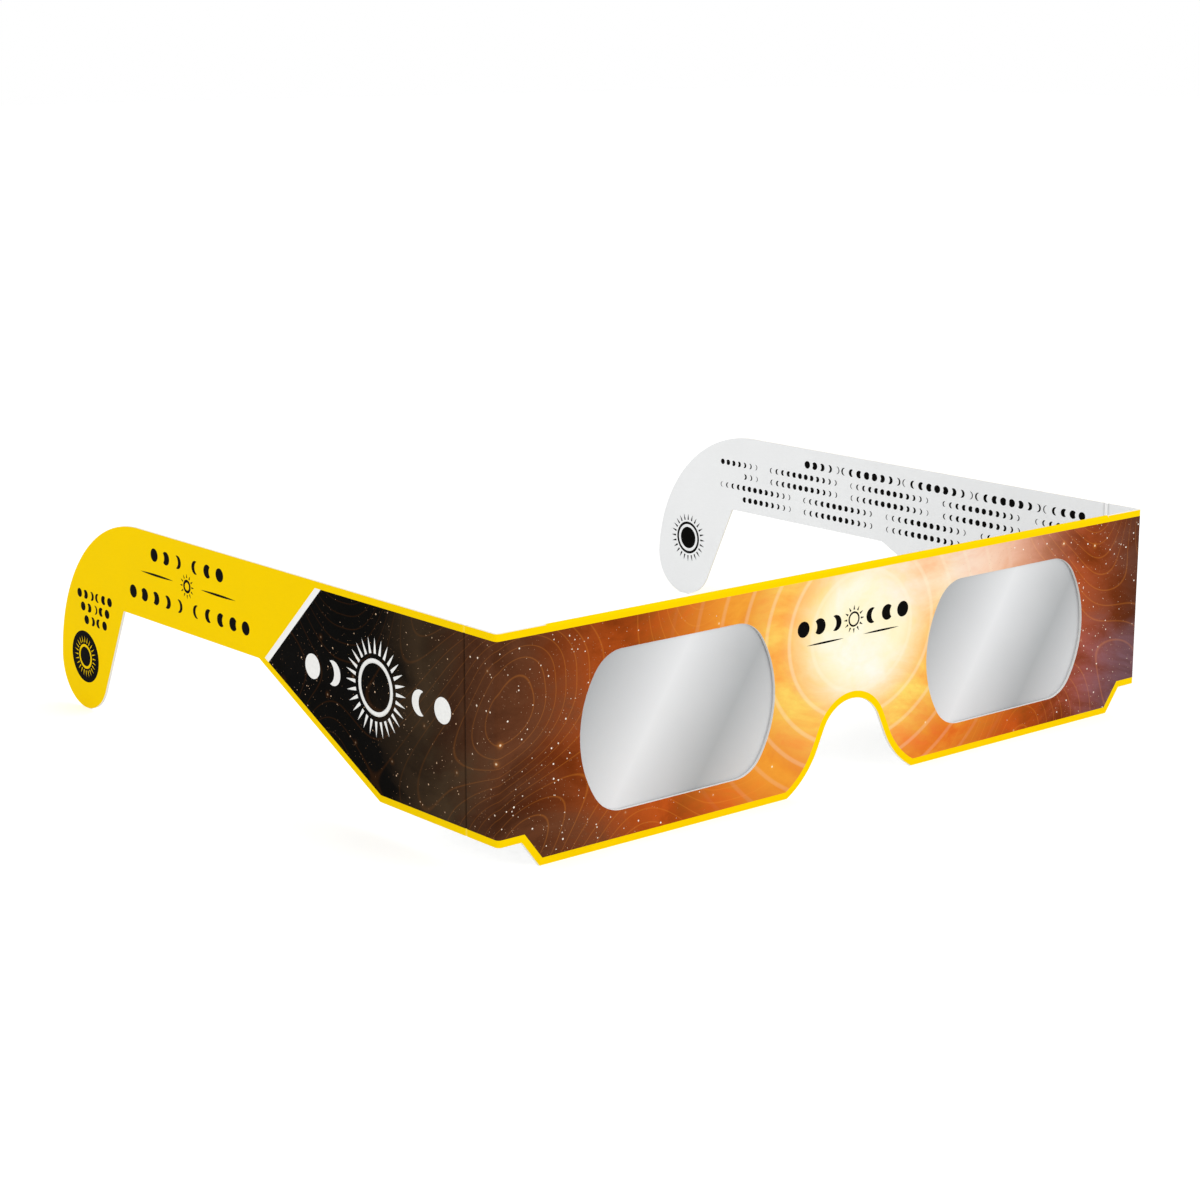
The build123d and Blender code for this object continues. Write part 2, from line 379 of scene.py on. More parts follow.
def clip(loop, point, heading):
    """The part of a closed outline on the left of a line."""
    kept = []
    left = [heading.x * (p.y - point.y) - heading.y * (p.x - point.x) for p in loop]
    for i, here in enumerate(loop):
        if left[i - 1] * left[i] < 0:
            kept.append(loop[i - 1].lerp(here, left[i - 1] / (left[i - 1] - left[i])))
        if left[i] >= 0:
            kept.append(here)
    return kept


def without_repeats(loop):
    """An outline without points that repeat the one before."""
    return [p for i, p in enumerate(loop) if (p - loop[i - 1]).length > CDT_GAP * MM]


def side_start(card):
    """How far out on the blank the corner bend ends."""
    return HALF_WIDTH - card.bend + card.bend * math.pi / 2


def on_blank(card, u):
    """Place on the blank, sideways, of a point of a temple at depth u behind the front face."""
    return side_start(card) - card.bend + u


def temple_points(card, corner):
    """A temple's outline from the foot of its taper round the ear hook to the top edge."""

    def place(u, z):
        """A point at depth u behind the front face and height z, on the blank."""
        return flat_point(on_blank(card, u), z)

    tip = place(REACH - card.hook_tip, card.hook_tip)
    crown_z = HEIGHT - card.hook_crown
    rise = tip.y - crown_z
    run = math.sqrt((card.hook_crown - card.hook_tip) ** 2 - rise**2)
    crown = flat_point(tip.x - run, crown_z)
    join = math.atan2(rise, run)
    throat = place(REACH - card.hook_depth, HEIGHT - card.arm)
    reach = throat - tip
    lip_angle = math.atan2(reach.y, reach.x) + math.acos(card.hook_tip / reach.length)
    tip_arc = arc(tip, card.hook_tip, lip_angle, join + 2 * math.pi - lip_angle)
    arm_start = place(card.taper_end, HEIGHT - card.arm)
    return [
        place(card.taper_start, SIDE_FOOT),
        arm_start,
        *fillet(arm_start, throat, tip_arc[0], corner),
        *tip_arc,
        *arc(crown, card.hook_crown, join, math.pi / 2 - join),
    ]


def glasses_outline(card, corner):
    """The unfolded glasses without the back flap, with the step's corners round or sharp."""
    crown_centre = flat_point(0, card.notch_height - card.notch_crown)
    crown = arc(crown_centre, card.notch_crown, math.pi / 2, -card.notch_angle)
    heading = flat_point(math.cos(card.notch_angle), -math.sin(card.notch_angle))
    flank = crown[-1] + heading * card.notch_flank
    mouth = flat_point(card.notch_mouth / 2, 0)
    step_foot = flat_point(HALF_WIDTH - card.step_foot, 0)
    step_top = flat_point(HALF_WIDTH - card.step_top, SIDE_FOOT)
    temple = temple_points(card, corner)
    half = without_repeats([
        *crown,
        *tangent_arc(flank, heading, mouth),
        *fillet(mouth, step_foot, step_top, corner),
        *fillet(step_foot, step_top, temple[0], corner),
        *temple,
    ])
    return [flat_point(-p.x, p.y) for p in reversed(half[1:])] + half


def window_half(window):
    """Half the width and half the height of an eye window."""
    half_w = (2 * HALF_WIDTH - 2 * window.side - window.bridge) / 4
    return flat_point(half_w, (HEIGHT - window.top - window.foot) / 2)


def window_outline(window, centre, margin):
    """A window about a point of the blank: straight top and foot, bowed ends, round corners."""
    half = window_half(window)
    end, corner = window.end_radius + margin, window.corner_radius + margin
    end_x, corner_y = half.x + margin - end, half.y + margin - corner
    corner_x = end_x + math.sqrt((end - corner) ** 2 - corner_y**2)
    join = math.atan2(corner_y, corner_x - end_x)
    quarter = arc(flat_point(end_x, 0), end, 0, join)
    quarter += arc(flat_point(corner_x, corner_y), corner, join, math.pi / 2 - join)
    upper = quarter + [flat_point(-p.x, p.y) for p in reversed(quarter)]
    lower = [flat_point(-p.x, -p.y) for p in upper]
    return without_repeats([centre + p for p in upper + lower])


def window_places(window):
    """Middles of both windows on the front."""
    x = window.bridge / 2 + window_half(window).x
    z = (HEIGHT - window.top + window.foot) / 2
    return [flat_point(side * x, z) for side in SIDES.values()]


def turned_over(point):
    """Where a point of the back card lies on the blank, past the top fold."""
    return flat_point(point.x, 2 * FOLD_Z + math.pi * FOLD_RADIUS - point.y)


def back_outline(card, distance):
    """The back card's outline on the blank, its cut edges moved inwards by a distance."""
    loop = inset(glasses_outline(card, 0), card.flap_inset + distance)
    half = FLAP_HALF - distance
    loop = clip(loop, flat_point(half, 0), flat_point(0, 1))
    loop = clip(loop, flat_point(-half, 0), flat_point(0, -1))
    cut_top = HEIGHT - card.flap_inset - distance - CDT_GAP * MM
    loop = [flat_point(p.x, FOLD_Z) if p.y > cut_top else p for p in loop]
    return [turned_over(p) for p in reversed(loop)]


def back_border(card):
    """How far up the blank the yellow reaches, over the top fold."""
    return turned_over(flat_point(0, HEIGHT - card.border)).y


def picture_outline(card, marks, shift):
    """The printed picture inside the yellow border, up to a line beside each stripe."""
    heading = flat_point(marks.stripe_lean, -marks.stripe_drop).normalized()
    start = flat_point(on_blank(card, marks.stripe_top), HEIGHT - card.border)
    start += flat_point(heading.y, -heading.x) * shift
    loop = clip(inset(glasses_outline(card, 0), card.border), start, -heading)
    return clip(loop, flat_point(-start.x, start.y), flat_point(-heading.x, heading.y))


def crease_columns(card):
    """Where upright lines cross the blank: the facets of the bends and the temple creases."""
    first = HALF_WIDTH - card.bend
    width = side_start(card) - first
    bend = [first + width * i / card.bend_columns for i in range(card.bend_columns + 1)]
    half, reach = card.crease_reach / 2, card.crease_reach
    groove = [card.groove_width * share for share in GROOVE_SHARES]
    return bend + [on_blank(card, CREASE_U + x) for x in (-reach, -half, *groove, half, reach)]


def blank_lines(card, window, marks):
    """Every closed outline and open line of the flat blank, and the outlines by name."""
    places = window_places(window)
    by_name = {
        "outline": inset(glasses_outline(card, card.corner), card.bevel),
        "back": back_outline(card, card.bevel),
        "picture": picture_outline(card, marks, 0),
        "scene": picture_outline(card, marks, marks.stripe_width),
    }

    def both_windows(place, edge):
        """A window of the front and the one behind it, made wider by a worn or crushed edge."""
        return (window_outline(window, place, edge),
                window_outline(window, turned_over(place), window.back_margin + edge))

    for i, place in enumerate(places):
        by_name[f"window_{i}"], by_name[f"back_window_{i}"] = both_windows(place, card.bevel)
    loops = list(by_name.values())
    loops += [inset(glasses_outline(card, 0), card.wear), back_outline(card, card.wear)]
    for place in places:
        loops += both_windows(place, card.wear)
    lines = [[flat_point(side * column, v) for v in (SIDE_FOOT - OVERRUN, HEIGHT + OVERRUN)]
             for column in crease_columns(card) for side in SIDES.values()]
    half = FLAP_HALF - card.bevel
    levels = [FOLD_Z + (FOLD_END - FOLD_Z) * i / card.bend_columns
              for i in range(card.bend_columns + 1)]
    lines += [[flat_point(-half, v), flat_point(half, v)] for v in [*levels, back_border(card)]]
    for end in (half, FLAP_HALF - card.wear):
        lines += [[flat_point(x, FOLD_Z), flat_point(x, FOLD_END)] for x in (-end, end)]
    return loops, lines, by_name


def triangulated(loops, lines):
    """Points and triangles of the flat blank, with each loop and line among their edges."""
    points, edges = [], []
    for chain, closed in [(c, True) for c in loops] + [(c, False) for c in lines]:
        first, last = len(points), len(points) + len(chain) - 1
        points += [flat_point(*(round(c / MM, CDT_DIGITS) for c in p)) for p in chain]
        edges += [(i, i + 1) for i in range(first, last)]
        if closed:
            edges.append((last, first))
    made = delaunay_2d_cdt(points, edges, [], 0, CDT_GAP)
    return [Vector(p) * MM for p in made[0]], [tuple(t) for t in made[2]]


def inside(points, loop):
    """For each of many points, whether it lies in a closed outline."""
    a = np.array([tuple(p) for p in loop])
    b = np.roll(a, -1, axis=0)
    x, y = points[:, :1], points[:, 1:]
    rise = np.where(b[:, 1] == a[:, 1], 1.0, b[:, 1] - a[:, 1])
    at = a[:, 0] + (y - a[:, 1]) * (b[:, 0] - a[:, 0]) / rise
    crossed = ((a[:, 1] > y) != (b[:, 1] > y)) & (x < at)
    return crossed.sum(axis=1) % 2 == 1


def stretches(card, middles, by_name):
    """For each triangle's middle, the stretch of card that it belongs to, or an empty name."""
    out, v = np.abs(middles[:, 0]), middles[:, 1]
    windows = [inside(middles, loop) for name, loop in by_name.items() if "window" in name]
    within = inside(middles, by_name["outline"])
    rolled = (out < FLAP_HALF - card.bevel) & (v > FOLD_Z) & (v < FOLD_END)
    names = np.full(len(middles), "", dtype="U16")
    starts = {
        "front": 0,
        "front_bend": HALF_WIDTH - card.bend,
        "corner": side_start(card),
        "temple_bend": on_blank(card, CREASE_U - card.crease_reach),
        "temple": on_blank(card, CREASE_U + card.crease_reach),
    }
    for name, start in starts.items():
        names[within & ~rolled & (out >= start)] = name
    names[rolled] = "fold"
    names[inside(middles, by_name["back"]) & (v > FOLD_END)] = "back"
    names[np.any(windows, axis=0)] = ""
    return names


def folded(card, stretch, s, v, depth):
    """Where a point of the blank is on the folded glasses, at a depth below the printed face."""
    if stretch == "fold":
        turn = (v - FOLD_Z) / FOLD_RADIUS
        radius = FOLD_RADIUS - depth
        y = FRONT_Y + FOLD_RADIUS - radius * math.cos(turn)
        return Vector((s, y, FOLD_Z + radius * math.sin(turn)))
    if stretch == "back":
        return Vector((s, BACK_HIGH.y - depth, turned_over(flat_point(s, v)).y))
    side, out = math.copysign(1, s), abs(s)
    bend_start = HALF_WIDTH - card.bend
    if out <= bend_start:
        return Vector((s, FRONT_Y + depth, v))
    if out < side_start(card):
        turn = (out - bend_start) / card.bend
        radius = card.bend - depth
        x = bend_start + radius * math.sin(turn)
        return Vector((side * x, FRONT_Y + card.bend - radius * math.cos(turn), v))
    u = out - on_blank(card, 0)
    off_crease = abs(u - CREASE_U) / card.groove_width
    sunk = card.groove_depth * (0.5 + 0.5 * math.cos(math.pi * min(off_crease, 1)))
    return Vector((side * (HALF_WIDTH - depth - sunk), FRONT_Y + u, v))


def cut_edges(triangles):
    """The edges that only one triangle has, each in that triangle's direction."""
    directed = {}
    for a, b, c in triangles:
        directed.update({(a, b): True, (b, c): True, (c, a): True})
    return [(a, b) for a, b in directed if (b, a) not in directed]


def cut_directions(corners, triangles):
    """For each point on a cut edge of the card, the direction straight off it, mitred."""
    normals = {}
    for a, b in cut_edges(triangles):
        along = (corners[b] - corners[a]).normalized()
        for end in (a, b):
            normals.setdefault(end, []).append(flat_point(along.y, -along.x))
    return {point: (sides[0] + sides[-1]) / max(1 + sides[0].dot(sides[-1]), MITRE_LIMIT)
            for point, sides in normals.items()}


def linked(name, data):
    """A new object in the scene that shows a mesh, a lamp or a camera."""
    piece = bpy.data.objects.new(name, data)
    bpy.context.scene.collection.objects.link(piece)
    return piece


def from_bmesh(name, shape):
    """The plain mesh of a shape, which is used up."""
    mesh = bpy.data.meshes.new(name)
    shape.to_mesh(mesh)
    shape.free()
    return mesh


class Blank:
    """The flat card, cut into triangles that each have a stretch of card and a coat of ink"""

    def __init__(self, card, window, marks):
        loops, lines, by_name = blank_lines(card, window, marks)
        self.card = card
        self.corners, self.triangles = triangulated(loops, lines)
        self.middles = np.array([tuple(sum((self.corners[p] for p in t), flat_point(0, 0)) / 3)
                                 for t in self.triangles])
        self.where = stretches(card, self.middles, by_name)
        in_scene, in_picture = (inside(self.middles, by_name[n]) for n in ("scene", "picture"))
        printed = np.where(in_scene, "picture", np.where(in_picture, "stripe", "yellow"))
        self.coats = np.where(self.middles[:, 1] > back_border(card), "inside", printed)
        kept = [t for t, name in zip(self.triangles, self.where) if name]
        self.off_cut = cut_directions(self.corners, kept)
        frames = [window_outline(window, place, card.wear) for place in window_places(window)]
        points = np.array([tuple(c) for c in self.corners])
        framed = np.any([inside(points, loop) for loop in frames], axis=0)
        # Cut edges round the windows take the darker rim colour, a painted shade. All other cut edges take
        # the core colour.
        self.edge_coats = np.where(framed, "rim", "core")

    def piece(self, name, stretch, paints, side=0):
        """One stretch of the card, of one side or of both, folded to its place."""
        keep = self.where == stretch
        if side:
            keep &= self.middles[:, 0] * side > 0
        chosen = np.flatnonzero(keep)
        triangles = [self.triangles[i] for i in chosen]
        coats = [str(self.coats[i]) for i in chosen]
        return linked(name, self.closed_mesh(name, stretch, triangles, coats, paints))

    def closed_mesh(self, name, stretch, triangles, coats, paints):
        """Both faces of a stretch, and between them a wall whose printed edge the die crushed."""
        card = self.card
        levels = [(0, 0), (card.bevel, card.bevel), (CARD, card.bevel)]
        bottom = len(levels) - 1
        rim = cut_edges(triangles)
        on_rim = {point for edge in rim for point in edge}
        index, places, flat, worn = {}, [], [], []
        for point in sorted({p for t in triangles for p in t}):
            for level, (depth, out) in enumerate(levels):
                if level in (0, bottom) or point in on_rim:
                    moved = self.corners[point] + self.off_cut.get(point, flat_point(0, 0)) * out
                    index[point, level] = len(places)
                    places.append(folded(card, stretch, moved.x, moved.y, depth))
                    flat.append(moved)
                    worn.append(1.0 if point in self.off_cut else 0.0)
        faces = [tuple(index[p, 0] for p in t) for t in triangles]
        faces += [tuple(index[p, bottom] for p in reversed(t)) for t in triangles]
        walls = []
        for a, b in rim:
            for upper in range(bottom):
                faces.append((index[a, upper], index[a, upper + 1],
                              index[b, upper + 1], index[b, upper]))
                walls.append(str(self.edge_coats[a]))
        coats = [*coats, *["inside"] * len(triangles), *walls]
        used = list(dict.fromkeys(coats))
        mesh = bpy.data.meshes.new(name)
        mesh.from_pydata(places, [], faces)
        for coat in used:
            mesh.materials.append(paints[coat])
        mesh.polygons.foreach_set("material_index", [used.index(coat) for coat in coats])
        layer = mesh.uv_layers.new(name="blank")
        for loop in mesh.loops:
            layer.data[loop.index].uv = flat[loop.vertex_index]
        off_crease = [abs(abs(p.x) - on_blank(card, CREASE_U)) / card.crease_band for p in flat]
        crease = [max(0.0, 1.0 - c) for c in off_crease]
        for label, values in (("wear", worn), ("crease", crease)):
            mesh.attributes.new(label, "FLOAT", "POINT").data.foreach_set("value", values)
        mesh.validate()
        mesh.shade_smooth()
        mesh.set_sharp_from_angle(angle=CARD_SHARP)
        return mesh


def join(tree, value, socket):
    """Join a node's output to an input socket, or set the socket to a plain value."""
    value = value.socket if isinstance(value, Value) else value
    if isinstance(value, bpy.types.NodeSocket):
        tree.links.new(value, socket)
    else:
        socket.default_value = value


def fill(tree, node, values):
    """Join or set a node's inputs."""
    for name, value in values.items():
        join(tree, value, node.inputs[name])


def add(tree, kind, inputs=None, **settings):
    """A new node, with its settings made and its inputs joined up or set."""
    made = tree.nodes.new(kind)
    for name, value in settings.items():
        setattr(made, name, value)
    fill(tree, made, inputs or {})
    return made


class Value:
    """What a node puts out. Arithmetic on it adds Math nodes to its tree"""

    def __init__(self, tree, socket):
        self.tree, self.socket = tree, socket

    def math(self, operation, *others):
        """The result of one Math node, with this value first."""
        return self.calc(operation, self, *others)

    def calc(self, operation, *values):
        """The result of one Math node."""
        made = add(self.tree, "ShaderNodeMath", dict(enumerate(values)), operation=operation)
        return Value(self.tree, made.outputs[0])

    def __add__(self, other):
        return self.calc("ADD", self, other)

    def __sub__(self, other):
        return self.calc("SUBTRACT", self, other)

    def __rsub__(self, other):
        return self.calc("SUBTRACT", other, self)

    def __mul__(self, other):
        return self.calc("MULTIPLY", self, other)

    def __truediv__(self, other):
        return self.calc("DIVIDE", self, other)

    def __pow__(self, other):
        return self.calc("POWER", self, other)

    def mapped(self, low, high, to_low=0.0, to_high=1.0, kind="LINEAR"):
        """This value moved from one range to another, and held within it."""
        inputs = {0: self, 1: low, 2: high, 3: to_low, 4: to_high}
        made = add(self.tree, "ShaderNodeMapRange", inputs, interpolation_type=kind)
        return Value(self.tree, made.outputs[0])

    def eased(self, low, high, to_low=0.0, to_high=1.0):
        """This value moved from one range to another, slowly at both ends."""
        return self.mapped(low, high, to_low, to_high, "SMOOTHSTEP")


def split(tree, vector):
    """The three numbers of a vector or colour."""
    made = add(tree, "ShaderNodeSeparateXYZ", {0: vector})
    return [Value(tree, socket) for socket in made.outputs]


def vector_calc(tree, operation, *values, **settings):
    """The vector that one Vector Math node gives."""
    inputs = {**dict(enumerate(values)), **settings}
    return add(tree, "ShaderNodeVectorMath", inputs, operation=operation).outputs[0]


def noise(tree, vector, scale, detail, roughness=0.5, output=0):
    """A noise texture's value, or its colour."""
    made = add(tree, "ShaderNodeTexNoise", {"Vector": vector, "Scale": scale, "Detail": detail,
                                            "Roughness": roughness})
    return Value(tree, made.outputs[output])


def blended(tree, factor, first, second, how="MIX"):
    """Two colours mixed by a factor."""
    made = add(tree, "ShaderNodeMix", data_type="RGBA", blend_type=how)
    for socket, value in ((0, factor), (6, first), (7, second)):
        join(tree, value, made.inputs[socket])
    return made.outputs[2]


def colour_ramp(tree, value, stops, way="EASE"):
    """A colour that changes along a value, from stops of (place, colour)."""
    made = add(tree, "ShaderNodeValToRGB", {0: value})
    made.color_ramp.interpolation = way
    elements = made.color_ramp.elements
    for i, (place, colour) in enumerate(stops):
        element = elements[i] if i < len(elements) else elements.new(place)
        element.position, element.color = place, colour
    return made.outputs[0]


def node_group(name, kind, inputs, outputs):
    """An empty node group, the values that it is given by name, and its output node.

    Each input is a default number, or the kind of a socket without one.
    """
    tree = bpy.data.node_groups.new(name, kind)
    for label, default in inputs.items():
        socket = NUMBER_SOCKETS.get(type(default), default)
        made = tree.interface.new_socket(label, in_out="INPUT", socket_type=socket)
        if socket != default:
            made.default_value = default
    for label, socket in outputs.items():
        tree.interface.new_socket(label, in_out="OUTPUT", socket_type=socket)
    start = tree.nodes.new("NodeGroupInput")
    given = {label: Value(tree, start.outputs[label]) for label in inputs}
    return tree, given, tree.nodes.new("NodeGroupOutput")


def shared(kept, name, make, *values):
    """A material or node group by name, made when it is first asked for."""
    return kept.get(name) or make(name, *values)


def placed_group(tree, group, inputs):
    """What a node group puts out by name, where a material uses it."""
    node = add(tree, "ShaderNodeGroup", inputs, node_tree=group)
    return {socket.name: Value(tree, socket) for socket in node.outputs}


def attribute(tree, name):
    """A number that a card's or a speck's points carry."""
    return Value(tree, add(tree, "ShaderNodeAttribute", attribute_name=name).outputs["Fac"])


def paper_grain(name):
    """Group: the fibres and cloudiness of board, as a tone and a height."""
    tree, given, end = node_group(
        name, "ShaderNodeTree",
        {"Vector": "NodeSocketVector", "Fibre scale": 2200.0, "Cloud scale": 90.0},
        {"Tone": "NodeSocketFloat", "Height": "NodeSocketFloat"},
    )
    drawn_out = vector_calc(tree, "MULTIPLY", given["Vector"], (0.35, 1.0, 1.0))
    fibre = noise(tree, drawn_out, given["Fibre scale"], 4.0)
    cloud = noise(tree, given["Vector"], given["Cloud scale"], 3.0)
    fill(tree, end, {"Tone": fibre * 0.45 + cloud * 0.55, "Height": fibre})
    return tree


def edge_wear(name):
    """Group: where ink is rubbed off along a cut edge, as a ragged mask."""
    tree, given, end = node_group(
        name, "ShaderNodeTree", {"Vector": "NodeSocketVector", "Wear": 0.0, "Reach": 0.6},
        {"Mask": "NodeSocketFloat"},
    )
    ragged = noise(tree, given["Vector"], 900.0, 5.0) * given["Wear"]
    fill(tree, end, {"Mask": ragged.eased(1.0 - given["Reach"], 0.75)})
    return tree


def halo_print(name, marks, inks):
    """Group: the printed picture, a warm halo of rings in clouds that darken to the temples.

    Every distance in it is in millimetres from the middle of the halo.
    """
    tree, given, end = node_group(name, "ShaderNodeTree", {"Vector": "NodeSocketVector"},
                                  {"Color": "NodeSocketColor"})
    flat = vector_calc(tree, "SCALE", given["Vector"], Scale=1 / MM)
    x, y, _ = split(tree, flat)
    across = x - marks.halo_side / MM
    height = y - marks.halo_height / MM
    distance = (across**2.0 + height**2.0 * HALO_SQUASH).math("SQRT")

    drift = noise(tree, flat, 0.03, 2.0, output="Color")
    warp = vector_calc(tree, "SUBTRACT", drift, (0.5, 0.5, 0.5))
    warped = vector_calc(tree, "MULTIPLY_ADD", warp, (34.0, 26.0, 0.0), flat)
    drawn_out = vector_calc(tree, "MULTIPLY", warped, (0.55, 1.0, 1.0))
    cloud = noise(tree, drawn_out, 0.075, 9.0, 0.62)
    drifted = (cloud - 0.5) * distance.eased(4.0, 45.0, 0.0, 46.0)
    stops = ((0, inks.glow), (8, inks.glow), (19, inks.gold), (31, inks.orange), (51, inks.rust),
             (75, inks.umber), (94, inks.dusk), (111, inks.night))
    warm = colour_ramp(tree, (distance + drifted) / HALO_REACH,
                       [(mm / HALO_REACH, ink) for mm, ink in stops])
    depth = cloud.eased(0.32, 0.68)
    clouded = blended(tree, 0.55, warm, depth, "OVERLAY")

    haze = across.eased(-2.0, 12.0, 0.0, 0.78) * across.eased(20.0, 60.0, 1.0, 0.0)
    haze = haze * height.eased(-4.0, 7.0) * depth.eased(0.0, 1.0, 0.4, 1.0)
    hazed = blended(tree, haze, clouded, inks.haze)
    mauve = across.eased(44.0, 60.0, 0.0, 0.26) * height.eased(-17.0, -4.0, 1.0, 0.1)
    mauve = mauve * across.eased(74.0, 92.0, 1.0, 0.0) * depth
    hazed = blended(tree, mauve, hazed, inks.mauve)

    wave = (distance * (2 * math.pi / RING_PITCH)).math("SINE")
    ring = wave.eased(0.80, 1.0) * distance.eased(8.0, 48.0, 0.30, 0.0)
    ringed = blended(tree, ring, hazed, inks.glow)
    off_line = (noise(tree, flat, 0.035, 0.0) * CONTOURS).math("PINGPONG", 0.5)
    shown = distance.eased(26.0, 44.0) * distance.eased(55.0, 105.0, 1.0, 0.12)
    line = off_line.eased(0.0, 0.07, 0.20, 0.0) * shown
    lined = blended(tree, line, ringed, inks.orange, "SCREEN")

    ember = add(tree, "ShaderNodeTexVoronoi", {"Vector": flat, "Scale": EMBERS},
                voronoi_dimensions="2D")
    chance = split(tree, ember.outputs["Color"])[0]
    lit = chance.eased(0.35, 1.0) * distance.eased(20.0, 34.0)
    lit = lit * distance.eased(70.0, 95.0, 1.0, 0.15)
    off = Value(tree, ember.outputs["Distance"]) / EMBERS
    soft = off.eased(0.0, 0.9, 0.8, 0.0) * (lit * off.eased(0.0, 0.45, 1.0, 0.35))
    core = off.eased(0.08, 0.24, 1.0, 0.0) * lit
    glowing = blended(tree, soft, lined, inks.orange, "SCREEN")
    fill(tree, end, {"Color": blended(tree, core, glowing, inks.glow)})
    return tree


def film_bands(name, inks):
    """Group: soft slanted bands of painted reflection, lighter and darker, on silvered film."""
    tree, given, end = node_group(
        name, "ShaderNodeTree", {"Vector": "NodeSocketVector"},
        {"Color": "NodeSocketColor", "Shine": "NodeSocketFloat"},
    )
    x, y, _ = split(tree, given["Vector"])
    across = (x + y * BAND_LEAN) / MM
    uneven = noise(tree, given["Vector"], 90.0, 3.0)
    place = across + (uneven - 0.5) * 0.8
    first, last = BAND_ENDS
    stops = ((first, inks.film_reflection_dark), (-5.7, inks.film_reflection_bright), (12.0, inks.film_reflection_dark),
             (last, inks.film_reflection_bright))
    shade = colour_ramp(tree, place.mapped(first, last),
                        [((mm - first) / (last - first), ink) for mm, ink in stops], "LINEAR")
    fill(tree, end, {"Color": shade, "Shine": uneven})
    return tree


def new_material(name, **values):
    """A material, its tree and its Principled shader, with plain values set on the shader."""
    material = bpy.data.materials.new(name)
    material.use_nodes = True
    tree = material.node_tree
    shader = tree.nodes["Principled BSDF"]
    fill(tree, shader, {label.replace("_", " "): value for label, value in values.items()})
    return material, tree, shader


def relief(tree, shader, height, distance, strength=1.0):
    """Give a shader a relief, so many metres deep."""
    bump = add(tree, "ShaderNodeBump", {"Strength": strength, "Distance": distance,
                                        "Height": height})
    fill(tree, shader, {"Normal": bump.outputs[0]})


def grained(tree, shader, vector, depth, low, high):
    """Give a shader the relief of paper grain and an uneven roughness. Returns the tone."""
    group = shared(bpy.data.node_groups, "Paper grain", paper_grain)
    grain = placed_group(tree, group, {"Vector": vector})
    relief(tree, shader, grain["Height"], depth)
    fill(tree, shader, {"Roughness": grain["Tone"].eased(0.3, 0.7, low, high)})
    return grain["Tone"]


def toned(tree, colour, tone, darkest):
    """A colour made a little darker where the paper grain is."""
    return blended(tree, 1.0, colour, tone.eased(0.25, 0.75, darkest, 1.0), "MULTIPLY")


def cloudy(tree, shader, scale, detail, colours, roughness):
    """Give a shader two colours and two roughnesses in soft clouds. Returns where they are."""
    place = add(tree, "ShaderNodeTexCoord").outputs["Object"]
    cloud = noise(tree, place, scale, detail)
    fill(tree, shader, {"Base Color": blended(tree, cloud, *colours),
                        "Roughness": cloud.eased(0.3, 0.7, *roughness)})
    return place


def card_print(name, inks, paint, crease_colour):
    """Varnished ink on board: one colour or a printed group, rubbed at cut edges, and with a colour of its
    own along a temple crease: painted shade on the picture, a lighter tint on the yellow and the stripe.
    """
    material, tree, shader = new_material(name, Specular_IOR_Level=INK_SHINE)
    blank = add(tree, "ShaderNodeUVMap", uv_map="blank").outputs[0]
    tone = grained(tree, shader, blank, PRINT_GRAIN, 0.40, 0.52)
    if isinstance(paint, bpy.types.NodeTree):
        paint = placed_group(tree, paint, {"Vector": blank})["Color"]
    # Along a temple crease: painted shade on the picture, and a lighter tint on the yellow and the stripe.
    groove = attribute(tree, "crease").mapped(0.5, 1.0, 0.0, 0.65)
    creased = blended(tree, groove, toned(tree, paint, tone, 0.965), crease_colour)
    group = shared(bpy.data.node_groups, "Edge wear", edge_wear)
    rub = placed_group(tree, group, {"Vector": blank, "Wear": attribute(tree, "wear")})["Mask"]
    fill(tree, shader, {"Base Color": blended(tree, rub * 0.55, creased, inks.core)})
    return material


def bare_card(name, inks, colour, grain, low, high):
    """Unprinted board: pale, matt, faintly cloudy, with painted shade beside a crease and a painted
    highlight along it.
    """
    material, tree, shader = new_material(name, Specular_IOR_Level=0.12)
    blank = add(tree, "ShaderNodeUVMap", uv_map="blank").outputs[0]
    tone = grained(tree, shader, blank, grain, low, high)
    crease = attribute(tree, "crease")
    # Painted shade: two thin grey lines beside the crease. Painted highlight: white along its middle.
    beside = crease.eased(0.03, 0.2) * crease.eased(0.3, 0.5, 0.5, 0.0)
    shadowed = blended(tree, beside, toned(tree, colour, tone, 0.965), inks.inside_crease_shade)
    crease_highlight = blended(tree, crease.eased(0.35, 0.6), shadowed, WHITE)
    fill(tree, shader, {"Base Color": crease_highlight})
    return material


def ink_material(name, colour, roughness):
    """A layer of ink on its own, a little uneven in tone and gloss."""
    material, tree, shader = new_material(name, Specular_IOR_Level=INK_SHINE)
    place = add(tree, "ShaderNodeTexCoord").outputs["Object"]
    tone = grained(tree, shader, place, INK_GRAIN, *roughness)
    fill(tree, shader, {"Base Color": toned(tree, colour, tone, 0.88)})
    return material


def speck_material(inks):
    """Tiny printed sparks, from faint rust to warm white."""
    material, tree, shader = new_material("Speck ink", Roughness=0.5,
                                          Specular_IOR_Level=INK_SHINE)
    colour = colour_ramp(tree, attribute(tree, "glint"), [
        (0.0, inks.speck_faint), (0.4, inks.speck_warm), (1.0, inks.speck_bright),
    ])
    fill(tree, shader, {"Base Color": colour})
    return material


